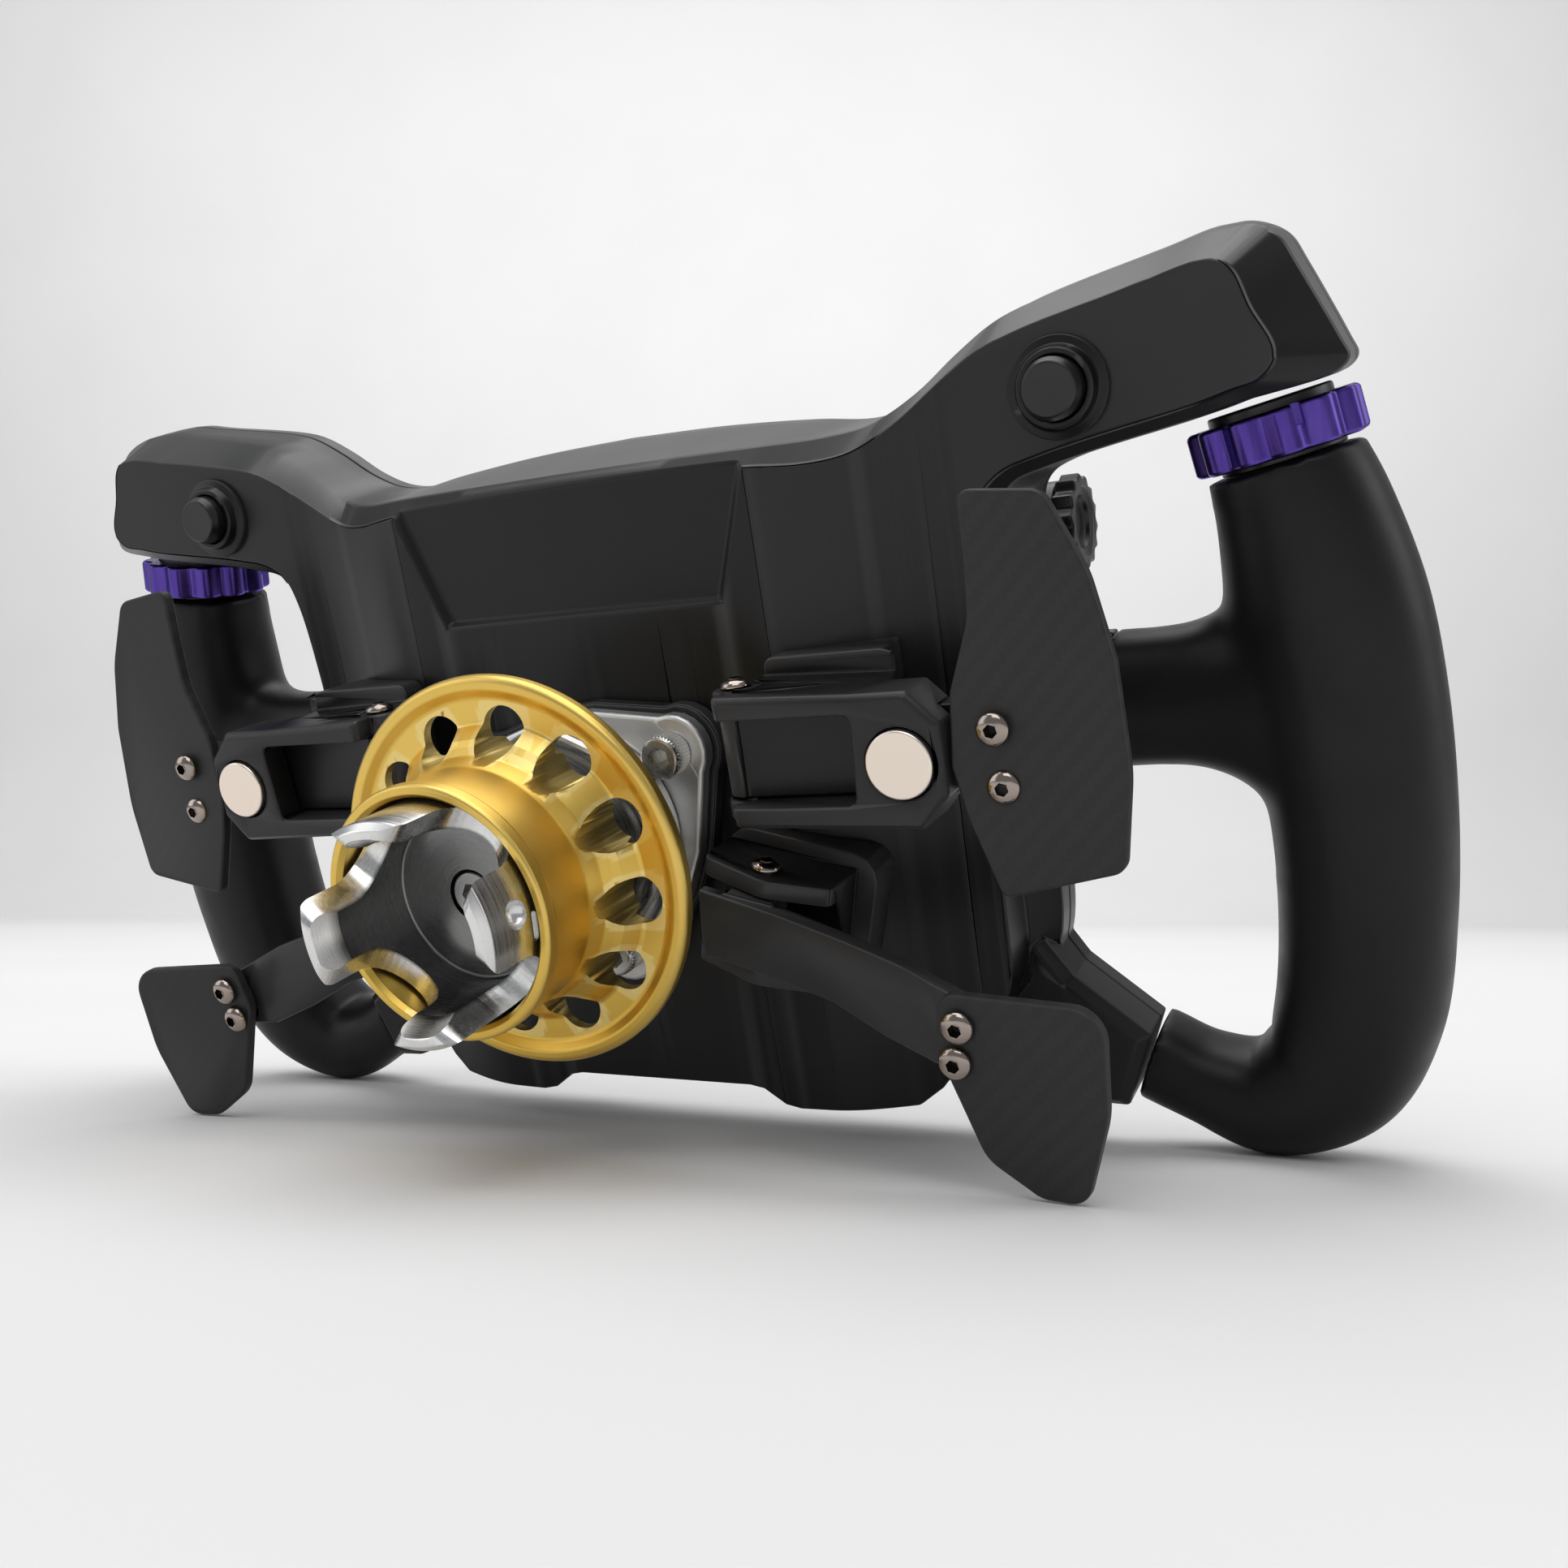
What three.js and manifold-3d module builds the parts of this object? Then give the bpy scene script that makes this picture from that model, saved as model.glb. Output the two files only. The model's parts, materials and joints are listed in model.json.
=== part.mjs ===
// Racing wheel with quick-release hub, magnetic shifter paddles and clutch paddles.
// Millimetres. The wheel is drawn in its own design frame: the hub axis is Y, +Y points to the wheel base,
// -Y to the driver, +X to the driver's right and +Z up. The last group leans it back onto its clutch paddles,
// as it stands on a table.
import * as THREE from 'three';
import Module from 'manifold-3d';
import { mergeVertices } from 'three/addons/utils/BufferGeometryUtils.js';

const wasm = await Module();
wasm.setup();

// ---- driving dimensions -------------------------------------------------------------------------------
const GAP = 0.3;                 // clearance between touching pieces
const LEAN = 20 * Math.PI / 180; // how far the wheel leans back when it stands on a table

const CROWN = 8.5;               // how far the middle of the rear face bulges rearward
const CROWN_FLAT = 38;           // half width of the flat middle
const CROWN_END = 74;            // half width where the bulge has died out
const HOUSING_FRONT = -22;
const PLATE_THICK = 4;
const PLATE_REAR = HOUSING_FRONT - GAP;
const PLATE_FRONT = PLATE_REAR - PLATE_THICK;
const SPOKE_END = 96.6;          // where the metal spokes stop and the rubber grips start
const SPOKE_REAR = -11;

const GRIP_Y = -21;              // depth of the handle's middle at its top
const RING_TILT = 10.5 * Math.PI / 180;
const RING_R = 14.6;
const RING_HEIGHT = 7.8;
const COLLAR_R = 10.5;

const BUTTON_X = 97.9;
const BUTTON_Z = 70;

const SHIFTER_Y = 32.6;          // rear face of the shifter brackets
const SHIFTER_PIVOT = [41.2, 23.4];
const ARM_LOW = 8.4;
const ARM_HIGH = 23;
const MAGNET_R = 6;
const PADDLE_THICK = 2.5;
const SHIFTER_TILT = 3.2 * Math.PI / 180;

const CLUTCH_PIVOT = [40.3, 22.5, -6.3];   // where the hinge screw comes through the top of the bracket
const CLUTCH_SLOPE = 14 * Math.PI / 180;   // the clutches hang down outward by this much
const CLUTCH_TILT = 6 * Math.PI / 180;

const BOLT_CIRCLE_R = 25.4;      // three M5 screws on a 50.8 mm circle
const HUB_TURN = -5 * Math.PI / 180;
const NOSE_R = 20;
const NOSE_BORE_R = 15.5;
const NOSE_FLOOR = 55;           // bottom of the bore between the claws
const NOSE_END = 77;
const RING_BORE_R = 20.5;
const FLANGE_R = 36.9;

const LOOKS = {
  anodised: { color: 0x17181b, roughness: 0.42, metalness: 0.7 },
  rubber: { color: 0x141415, roughness: 0.75, metalness: 0 },
  purple: { color: 0x3f2a9c, roughness: 0.3, metalness: 0.9 },
  gold: { color: 0xd9b13c, roughness: 0.35, metalness: 0.9 },
  aluminium: { color: 0xc9cbcf, roughness: 0.28, metalness: 1 },
  nickel: { color: 0xcfc4b6, roughness: 0.22, metalness: 1 },
  carbon: { color: 0x2a2b2d, roughness: 0.5, metalness: 0.1 },
  plastic: { color: 0x0f0f11, roughness: 0.35, metalness: 0 },
  board: { color: 0x1c5a38, roughness: 0.6, metalness: 0.1 },
  glass: { color: 0x050608, roughness: 0.08, metalness: 0 },
};

// ---- shape tools --------------------------------------------------------------------------------------
// A closed geometry from vertices and faces, turned so that its faces point outward.
function closedGeometry(vertices, faces) {
  let volume = 0;
  for (const [a, b, c] of faces) {
    const [p, q, r] = [vertices[a], vertices[b], vertices[c]];
    volume += p[0] * (q[1] * r[2] - q[2] * r[1]) + p[1] * (q[2] * r[0] - q[0] * r[2])
      + p[2] * (q[0] * r[1] - q[1] * r[0]);
  }
  const outward = volume < 0 ? faces.map(([a, b, c]) => [a, c, b]) : faces;
  const geometry = new THREE.BufferGeometry();
  geometry.setAttribute('position', new THREE.Float32BufferAttribute(vertices.flat(), 3));
  geometry.setIndex(outward.flat());
  return geometry;
}

// A solid through rings of equally many points. The two end rings are capped in the plane of the axes
// (first, second), 0 for X, 1 for Y and 2 for Z.
function loft(rings, first = 0, second = 2) {
  const count = rings[0].length;
  const faces = [];
  for (let k = 0; k + 1 < rings.length; k++) {
    for (let i = 0; i < count; i++) {
      const j = (i + 1) % count;
      const low = k * count;
      const high = low + count;
      faces.push([low + i, low + j, high + j], [low + i, high + j, high + i]);
    }
  }
  for (const [ring, start, flip] of [[rings[0], 0, true], [rings.at(-1), (rings.length - 1) * count, false]]) {
    const flat = ring.map((p) => new THREE.Vector2(p[first], p[second]));
    const clockwise = THREE.ShapeUtils.area(flat) < 0;
    const order = clockwise ? [...flat.keys()].reverse() : [...flat.keys()];
    for (const [a, b, c] of THREE.ShapeUtils.triangulateShape(order.map((i) => flat[i]), [])) {
      const face = [start + order[a], start + order[b], start + order[c]];
      faces.push(flip !== clockwise ? face.reverse() : face);
    }
  }
  return closedGeometry(rings.flat(), faces);
}

// An outline with its corners rounded: each point is [x, z] or [x, z, radius].
function rounded(points, steps = 4) {
  const result = [];
  points.forEach(([x, z, radius = 0], i) => {
    if (radius === 0) {
      result.push([x, z]);
      return;
    }
    const corner = new THREE.Vector2(x, z);
    const before = points[(i + points.length - 1) % points.length];
    const after = points[(i + 1) % points.length];
    const back = new THREE.Vector2(before[0], before[1]).sub(corner).normalize();
    const ahead = new THREE.Vector2(after[0], after[1]).sub(corner).normalize();
    const half = Math.acos(back.dot(ahead)) / 2;
    const centre = back.clone().add(ahead).normalize().multiplyScalar(radius / Math.sin(half)).add(corner);
    const start = back.multiplyScalar(radius / Math.tan(half)).add(corner).sub(centre);
    const end = ahead.multiplyScalar(radius / Math.tan(half)).add(corner).sub(centre);
    const sweep = Math.atan2(start.cross(end), start.dot(end));
    for (let k = 0; k <= steps; k++) {
      const p = start.clone().rotateAround(new THREE.Vector2(), sweep * k / steps).add(centre);
      result.push([p.x, p.y]);
    }
  });
  return result;
}

// An outline moved inward by a distance. Left-turning and right-turning outlines both shrink.
function inset(points, distance) {
  const sign = THREE.ShapeUtils.area(points.map(([x, z]) => new THREE.Vector2(x, z))) > 0 ? 1 : -1;
  return points.map(([x, z], i) => {
    const [x0, z0] = points[(i + points.length - 1) % points.length];
    const [x1, z1] = points[(i + 1) % points.length];
    const into = new THREE.Vector2(x - x0, z - z0).normalize();
    const out = new THREE.Vector2(x1 - x, z1 - z).normalize();
    const normal = new THREE.Vector2(-into.y - out.y, into.x + out.x).normalize();
    const stretch = Math.max(0.4, normal.dot(new THREE.Vector2(-into.y, into.x)));
    return [x + sign * normal.x * distance / stretch, z + sign * normal.y * distance / stretch];
  });
}

const ringAt = (outline, y) => outline.map(([x, z]) => [x, y, z]);
const plate = (outline, y0, y1) => loft([ringAt(outline, y0), ringAt(outline, y1)]);
const floorPlan = (outline, z0, z1) => loft([z0, z1].map((z) => outline.map(([x, y]) => [x, y, z])), 0, 1);

// A plate whose rear edge, at y1, is chamfered.
function chamferedPlate(outline, y0, y1, chamfer) {
  return loft([ringAt(outline, y0), ringAt(outline, y1 - chamfer), ringAt(inset(outline, chamfer), y1)]);
}

// A plate whose front edge, at y0, is chamfered.
function chamferedPlateFront(outline, y0, y1, chamfer) {
  return loft([ringAt(inset(outline, chamfer), y0), ringAt(outline, y0 + chamfer), ringAt(outline, y1)]);
}

function circle(radius, segments, x = 0, z = 0, turn = 0) {
  return Array.from({ length: segments }, (_, i) => {
    const angle = turn + 2 * Math.PI * i / segments;
    return [x + radius * Math.cos(angle), z + radius * Math.sin(angle)];
  });
}

const rodY = (radius, y0, y1, x = 0, z = 0, segments = 24) => plate(circle(radius, segments, x, z), y0, y1);
const rodZ = (radius, z0, z1, x, y, segments = 20) => floorPlan(circle(radius, segments, x, y), z0, z1);

// A solid of revolution about the hub axis from a closed profile of [radius, y] points.
function turned(profile, segments) {
  const closed = profile[0][0] === 0 ? profile : [...profile, profile[0]];
  const lathe = new THREE.LatheGeometry(closed.map(([r, y]) => new THREE.Vector2(r, y)), segments);
  const points = [];
  const source = lathe.getAttribute('position');
  for (let i = 0; i < source.count; i++) points.push([source.getX(i), source.getY(i), source.getZ(i)]);
  const faces = [];
  for (let i = 0; i < lathe.index.count; i += 3) faces.push([0, 1, 2].map((k) => lathe.index.getX(i + k)));
  return closedGeometry(points, faces);
}

function solid(geometry) {
  const bare = geometry.clone();
  bare.deleteAttribute('normal');
  bare.deleteAttribute('uv');
  const merged = mergeVertices(bare, 1e-4);
  return new wasm.Manifold(new wasm.Mesh({
    numProp: 3,
    vertProperties: new Float32Array(merged.getAttribute('position').array),
    triVerts: new Uint32Array(merged.index.array),
  }));
}

function fromSolid(manifold) {
  const mesh = manifold.getMesh();
  const geometry = new THREE.BufferGeometry();
  geometry.setAttribute('position', new THREE.Float32BufferAttribute(mesh.vertProperties, 3));
  geometry.setIndex(new THREE.Uint32BufferAttribute(mesh.triVerts, 1));
  return geometry;
}

const join = (...pieces) => fromSolid(pieces.map(solid).reduce((a, b) => a.add(b)));
const cut = (piece, ...tools) => fromSolid(tools.map(solid).reduce((a, b) => a.subtract(b), solid(piece)));
const common = (a, b) => fromSolid(solid(a).intersect(solid(b)));
const placed = (geometry, matrix) => geometry.clone().applyMatrix4(matrix);

// Turns a geometry about an axis through a point.
function turnAbout(geometry, axis, angle, point) {
  const matrix = new THREE.Matrix4().makeTranslation(...point)
    .multiply(new THREE.Matrix4().makeRotationAxis(new THREE.Vector3(...axis), angle))
    .multiply(new THREE.Matrix4().makeTranslation(...point.map((v) => -v)));
  return placed(geometry, matrix);
}

// The same piece for the driver's left side.
function mirrored(geometry) {
  const copy = placed(geometry, new THREE.Matrix4().makeScale(-1, 1, 1));
  const index = copy.index.array;
  for (let i = 0; i < index.length; i += 3) [index[i + 1], index[i + 2]] = [index[i + 2], index[i + 1]];
  return copy;
}

// ---- the assembly -------------------------------------------------------------------------------------
const wheel = new THREE.Group();

function add(name, geometry, look) {
  geometry.deleteAttribute('normal');
  const mesh = new THREE.Mesh(geometry, new THREE.MeshStandardMaterial(LOOKS[look]));
  mesh.name = name;
  wheel.add(mesh);
}

function addPair(stem, geometry, look) {
  add(`right_${stem}`, geometry, look);
  add(`left_${stem}`, mirrored(geometry), look);
}

// ---- housing ------------------------------------------------------------------------------------------
// Right half of the outline from the top middle clockwise. Each row is
// [rear x, rear z, ridge x, ridge z, ridge depth, front x, front z, share of the way to the front at y = -17]
const OUTLINE = [
  [0, 65.7, 0, 68.3, 4, 0, 73, 0.9],
  [22, 65.5, 22, 68.2, 4, 22, 72.4, 0.9],
  [41, 64.8, 42, 68, 4, 42, 70.9, 0.9],
  [52, 63.8, 53.5, 67.8, 5, 53.5, 69.5, 0.8],
  [60, 64.6, 62, 68.8, 6, 62, 70.4, 0.7],
  [68, 68.4, 69.8, 72.6, 7, 69.8, 74, 0.6],
  [76.5, 73.9, 77.8, 78.2, 8, 77.8, 79.8, 0.5],
  [83.5, 77.9, 84.5, 82.2, 8.6, 84.5, 83.9, 0.5],
  [90, 80, 90.5, 84.3, 9, 90.5, 86, 0.5],
  [112.5, 84.4, 113, 88.8, 11.6, 113, 90.3, 0.5],
  [121, 86, 122, 90.6, 12.6, 122, 92, 0.5],
  [124.8, 85.6, 128.2, 90.4, 12, 128, 91.6, 0.6],
  [127.2, 83.2, 132.8, 88, 10, 132.4, 89, 0.8],
  [129.2, 77.6, 135.6, 83, 9, 135.2, 83.8, 1],
  [132, 71.8, 141.4, 70.6, 9, 141, 70.8, 1],
  [132.2, 69.2, 142.4, 68, 9, 142, 68, 1],
  [130.4, 67, 140.6, 65.9, 8, 140.2, 65.8, 1],
  [124.9, 65.4, 126, 63.3, 3, 126, 63.3, 1],
  [118.9, 64, 119.5, 61.8, 3, 119.5, 61.8, 1],
  [102, 61.2, 102.4, 58.9, 3, 102.4, 58.9, 1],
  [92.8, 59.4, 93, 57, 3, 93, 57, 1],
  [86.4, 57.6, 87.4, 55.4, 3.4, 88, 55, 1],
  [82.4, 54.4, 84, 52.4, 5, 86, 52, 1],
  [80.4, 49, 81.6, 48, 8, 85.4, 47, 1],
  [79, 38, 79, 38, 10.5, 84.8, 38, 1],
  [77.2, -18, 77.2, -18, 10.5, 83, -18, 1],
  [76.6, -36, 76.6, -35, 10.5, 82, -33, 1],
  [75, -41, 75, -41, 8, 80, -40, 1],
  [60.6, -58.6, 60.6, -58.6, 5, 63, -60, 1],
  [56, -61.8, 56, -61.8, 4, 56, -62.6, 1],
  [31.7, -62.3, 31.7, -62.3, 4, 31.7, -62.6, 1],
  [28.4, -61.6, 28.4, -61.6, 4, 28.4, -61.8, 1],
  [23.9, -58.4, 23.9, -58.4, 4, 23.9, -58.6, 1],
  [20.8, -57.8, 20.8, -57.8, 4, 20.8, -57.8, 1],
  [0, -57.8, 0, -57.8, 4, 0, -57.8, 1],
];

function crownHeight(x) {
  const t = THREE.MathUtils.clamp((Math.abs(x) - CROWN_FLAT) / (CROWN_END - CROWN_FLAT), 0, 1);
  return CROWN * (0.5 + 0.5 * Math.cos(Math.PI * t));
}

// Everything in front of the bulging rear face, as a solid that spans the wheel's height.
function crownBlock(offset) {
  const across = Array.from({ length: 33 }, (_, i) => -80 + 5 * i);
  const top = across.map((x) => [x, crownHeight(x) + offset]);
  return floorPlan([[-160, -60], [-160, offset], ...top, [160, offset], [160, -60]], -120, 120);
}

function fullRing(half) {
  return [...half, ...half.slice(1, -1).reverse().map(([x, y, z]) => [-x, y, z])];
}

const frontOutline = fullRing(OUTLINE.map(([, , , , , x, z]) => [x, 0, z])).map(([x, , z]) => [x, z]);

const midSpoke = [[74, 24.5], [SPOKE_END, 24.5], [SPOKE_END, -0.6], [74, -0.6]];
const lowerSpoke = [[70, -30], [79.5, -33], [84.4, -40.6, 3], [98.4, -52.4], [92.7, -67.6], [86, -67.4, 4], [60, -58]];

const CAVITY = [[-66, 56], [66, 56], [70, 40], [70, -34], [56, -52], [-56, -52], [-70, -34], [-70, 40]];
const boltPlaces = [30, 150, 270].map((degrees) => {
  const angle = degrees * Math.PI / 180 + HUB_TURN;
  return [BOLT_CIRCLE_R * Math.cos(angle), BOLT_CIRCLE_R * Math.sin(angle)];
});

function rearHousing() {
  const rear = OUTLINE.map(([x, z]) => [x, CROWN + 3, z]);
  const edge = OUTLINE.map(([x, z]) => [x, crownHeight(x) - 0.6, z]);
  const ridge = OUTLINE.map(([x, , rx, rz, depth]) => [rx, crownHeight(x) - depth, rz]);
  const waist = OUTLINE.map(([, , rx, rz, , fx, fz, share]) => [rx + share * (fx - rx), -17, rz + share * (fz - rz)]);
  const front = OUTLINE.map(([, , , , , x, z]) => [x, HOUSING_FRONT, z]);
  const body = loft([front, waist, ridge, edge, rear].map(fullRing));
  const shell = common(body, crownBlock(0));
  const spokes = [midSpoke, rounded(lowerSpoke, 2)]
    .map((outline) => chamferedPlate(outline, HOUSING_FRONT, SPOKE_REAR, 2));
  const whole = join(shell, ...spokes, ...spokes.map(mirrored));
  const panel = loft([
    ringAt([[-30.6, 43], [30.6, 43], [39, 66.8], [-39, 66.8]], CROWN - 1.6),
    ringAt([[-33, 40.6], [33, 40.6], [42, 67], [-42, 67]], CROWN + 0.4),
  ]);
  const buttonBores = [1, -1].map((side) => rodY(7.6, -12, 3, side * BUTTON_X, BUTTON_Z, 28));
  const boltHoles = boltPlaces.map(([x, z]) => rodY(2.75, 0.5, CROWN + 1, x, z, 12));
  return cut(whole, panel, plate(CAVITY, HOUSING_FRONT - 1, -2), ...buttonBores, ...boltHoles);
}

// ---- front plate and its controls ---------------------------------------------------------------------
const DISPLAY = rounded([[-52, 46, 4], [52, 46, 4], [52, -14, 4], [-52, -14, 4]]);
const LIGHT_BAR = rounded([[-46, 57, 2.5], [46, 57, 2.5], [46, 51, 2.5], [-46, 51, 2.5]], 3);
const FRONT_BUTTONS = [['upper', 62, 24], ['middle', 62, 4], ['lower', 62, -16]];
const FRONT_BUTTON_R = 6;
const KNOB = [78.5, -36.2, 44.1];   // inner end of the thumb wheel, whose axis runs sideways
const KNOB_R = 9.3;
const KNOB_BLOCK = rounded([[59, 53.4, 3], [78.2, 53.4, 2], [78.2, 34.8, 2], [59, 34.8, 3]], 3);

function frontPlate() {
  const whole = join(
    plate(frontOutline, PLATE_FRONT, PLATE_REAR),
    ...[midSpoke, rounded(lowerSpoke, 2)].flatMap((outline) => {
      const spoke = plate(outline, PLATE_FRONT, PLATE_REAR);
      return [spoke, mirrored(spoke)];
    }),
  );
  const windows = [DISPLAY, LIGHT_BAR].map((outline) => plate(inset(outline, -GAP), PLATE_FRONT - 1, PLATE_REAR + 1));
  const holes = [1, -1].flatMap((side) => FRONT_BUTTONS.map(([, x, z]) => (
    rodY(FRONT_BUTTON_R + GAP, PLATE_FRONT - 1, PLATE_REAR + 1, side * x, z, 20))));
  return cut(whole, ...windows, ...holes);
}

function scalloped(radius, lobes, depth, steps, x, z) {
  return Array.from({ length: lobes * steps }, (_, i) => {
    const angle = 2 * Math.PI * i / (lobes * steps);
    const r = radius - depth * Math.pow(0.5 - 0.5 * Math.cos(lobes * angle), 2);
    return [x + r * Math.cos(angle), z + r * Math.sin(angle)];
  });
}

// The block on the front plate that carries the thumb wheel.
const knobBlock = () => chamferedPlateFront(KNOB_BLOCK, PLATE_FRONT - 18, PLATE_FRONT - GAP, 1.5);

// A plain barrel and a toothed rim with a dished end.
function sideKnob() {
  const rim = scalloped(KNOB_R, 14, 1.1, 4, 0, 0);
  const toothed = loft([
    ringAt(inset(rim, 0.5), 7.2),
    ringAt(rim, 7.7),
    ringAt(rim, 10.7),
    ringAt(inset(rim, 0.7), 11.3),
  ]);
  const barrel = plate(circle(KNOB_R - 1, 28), 0, 8);
  const dish = turned([[0, 10.1], [3.6, 10.1], [5, 12], [0, 12]], 20);
  const sideways = new THREE.Matrix4().makeTranslation(...KNOB).multiply(new THREE.Matrix4().makeRotationZ(-Math.PI / 2));
  return placed(cut(join(barrel, toothed), dish), sideways);
}

function frontButton(x, z) {
  const outline = circle(FRONT_BUTTON_R, 20, x, z);
  return loft([
    ringAt(inset(outline, 0.8), PLATE_FRONT - 3.2),
    ringAt(outline, PLATE_FRONT - 2.4),
    ringAt(outline, PLATE_REAR + 2),
  ]);
}

// ---- grips --------------------------------------------------------------------------------------------
// Stations down the handle and along the lower stub: [x, y, z, half width, half depth]
const GRIP_STATIONS = [
  [129.6, GRIP_Y, 52, 12.9, 13.2],
  [131.9, GRIP_Y, 42.5, 14.6, 14.2],
  [134.4, GRIP_Y, 27, 16.6, 15.2],
  [136.6, GRIP_Y - 0.5, 10, 16.6, 15.4],
  [138, GRIP_Y - 0.8, -10, 15.8, 15.2],
  [137.6, GRIP_Y - 1, -30, 15.2, 15],
  [135, GRIP_Y - 1.5, -49, 14.8, 14.6],
  [129.4, GRIP_Y - 2.5, -62, 13.4, 13.6],
  [118, GRIP_Y - 3, -68.4, 11.2, 12],
  [106, GRIP_Y - 2.5, -65.3, 8.6, 10.4],
  [96.2, GRIP_Y - 2, -60.4, 8.8, 9.6],
];

// A tube with a rounded-square section through stations, each spanned by its own in-plane normal and Y.
function sweptGrip(stations, steps, segments) {
  const curveOf = (pick) => new THREE.CatmullRomCurve3(stations.map(pick), false, 'centripetal');
  const path = curveOf(([x, y, z]) => new THREE.Vector3(x, y, z));
  const sizeCurve = stations.map(([, , , a, b]) => [a, b]);
  const rings = [];
  for (let k = 0; k <= steps; k++) {
    const t = k / steps;
    const centre = path.getPoint(t);
    const tangent = path.getTangent(t);
    if (k === 0) tangent.set(Math.sin(RING_TILT), 0, -Math.cos(RING_TILT));
    if (k === steps) tangent.set(-0.936, 0, 0.351);
    const side = new THREE.Vector3(-tangent.z, 0, tangent.x).normalize();
    const place = t * (stations.length - 1);
    const low = Math.min(Math.floor(place), stations.length - 2);
    const [a, b] = [0, 1].map((i) => THREE.MathUtils.lerp(sizeCurve[low][i], sizeCurve[low + 1][i], place - low));
    rings.push(Array.from({ length: segments }, (_, i) => {
      const angle = 2 * Math.PI * i / segments;
      const c = Math.sign(Math.cos(angle)) * Math.pow(Math.abs(Math.cos(angle)), 0.86) * a;
      const s = Math.sign(Math.sin(angle)) * Math.pow(Math.abs(Math.sin(angle)), 0.86) * b;
      return [centre.x + side.x * c, centre.y + s, centre.z + side.z * c];
    }));
  }
  return rings;
}

// A closed solid through rings whose ends are capped by fans, for rings that lie in turned planes.
function fanLoft(rings) {
  const count = rings[0].length;
  const vertices = rings.flat();
  const faces = [];
  rings.slice(1).forEach((_, k) => {
    for (let i = 0; i < count; i++) {
      const j = (i + 1) % count;
      faces.push([k * count + i, k * count + j, (k + 1) * count + j]);
      faces.push([k * count + i, (k + 1) * count + j, (k + 1) * count + i]);
    }
  });
  const last = (rings.length - 1) * count;
  for (let i = 1; i + 1 < count; i++) {
    faces.push([0, i + 1, i]);
    faces.push([last, last + i, last + i + 1]);
  }
  return closedGeometry(vertices, faces);
}

function grip() {
  const handle = fanLoft(sweptGrip(GRIP_STATIONS, 26, 16));
  const arm = loft([[SPOKE_END + GAP, 12.8, 9.8], [108, 12.8, 9.6], [114, 13.6, 10], [118.5, 16, 11], [124, 20, 12]]
    .map(([x, halfHeight, halfDepth]) => circle(1, 16).map(([c, s]) => [
      x,
      GRIP_Y - 1 + Math.sign(c) * Math.pow(Math.abs(c), 0.8) * halfDepth,
      12 + Math.sign(s) * Math.pow(Math.abs(s), 0.8) * halfHeight,
    ])), 1, 2);
  return join(handle, arm);
}

// The tilted axis that the thumb ring turns on, from the top of the grip to the underside of the horn.
const RING_BASE = [129.6, GRIP_Y, 52];
function onRingAxis(geometry) {
  const matrix = new THREE.Matrix4().makeTranslation(...RING_BASE)
    .multiply(new THREE.Matrix4().makeRotationY(-RING_TILT))
    .multiply(new THREE.Matrix4().makeRotationX(Math.PI / 2));
  return placed(geometry, matrix);
}

function thumbRing() {
  const outline = scalloped(RING_R, 12, 1.3, 4, 0, 0);
  const ring = loft([
    ringAt(inset(outline, 0.7), 1.2),
    ringAt(outline, 1.9),
    ringAt(outline, 1.2 + RING_HEIGHT - 0.7),
    ringAt(inset(outline, 0.7), 1.2 + RING_HEIGHT),
  ]);
  return onRingAxis(cut(ring, rodY(COLLAR_R + GAP, 0, 12, 0, 0, 24)));
}

// ---- rear buttons -------------------------------------------------------------------------------------
const atButton = (geometry) => placed(geometry, new THREE.Matrix4().makeTranslation(BUTTON_X, 0, BUTTON_Z));
const buttonCollar = () => atButton(turned([
  [5.5, -8], [5.5, 3.2], [6.4, 3.2], [7, 1.5], [8.6, 1.2], [8.6, 0.3], [7.3, 0.3], [7.3, -8],
], 20));
const rearButton = () => atButton(turned([
  [0, -5], [5.2, -5], [5.2, 5.8], [4.6, 6.5], [0, 6.5],
], 20));

// ---- shifters -----------------------------------------------------------------------------------------
function shifterBracket() {
  const face = [[40.2, 27.6], [66.2, 26.9], [76.4, 26.9], [81.8, 21.4], [81.8, 9], [76.8, 3.4], [41.4, 4.2]];
  const block = chamferedPlate(face, 10, SHIFTER_Y, 1);
  const window = plate(rounded([[38, 23.5], [66.3, 23.5, 1.5], [65.4, 7.9, 1.5], [38, 7.9]], 3), 0, 40);
  const armRoom = floorPlan([[30, 18.4], [46, 18], [90, 12.4], [90, 25.8], [60, 26.8], [46, 27.8], [30, 27.8]],
    ARM_LOW - GAP, ARM_HIGH + GAP);
  const knuckle = floorPlan(circle(4.4, 20, ...SHIFTER_PIVOT), 4.2, 27.6);
  const screwBore = rodZ(1.9, 0, 40, SHIFTER_PIVOT[0], SHIFTER_PIVOT[1], 16);
  const undercut = floorPlan([[62, -5], [90, -5], [90, 21], [70, 21]], 0, 40);
  const magnetPocket = rodY(MAGNET_R + 0.2, 29, 40, 74.3, 14.9, 24);
  const foot = plate(rounded([[42, 31, 2], [70, 31, 5], [72, 2, 4], [42, 2, 2]], 3), -4, 14);
  return cut(join(block, foot, knuckle), window, armRoom, screwBore, undercut, magnetPocket, crownBlock(GAP));
}

const shifterMagnet = () => placed(turned([
  [0, 29.3], [5.9, 29.3], [5.9, 33.2], [5.6, 33.5], [0, 33.5],
], 24), new THREE.Matrix4().makeTranslation(74.3, 0, 14.9));

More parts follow.
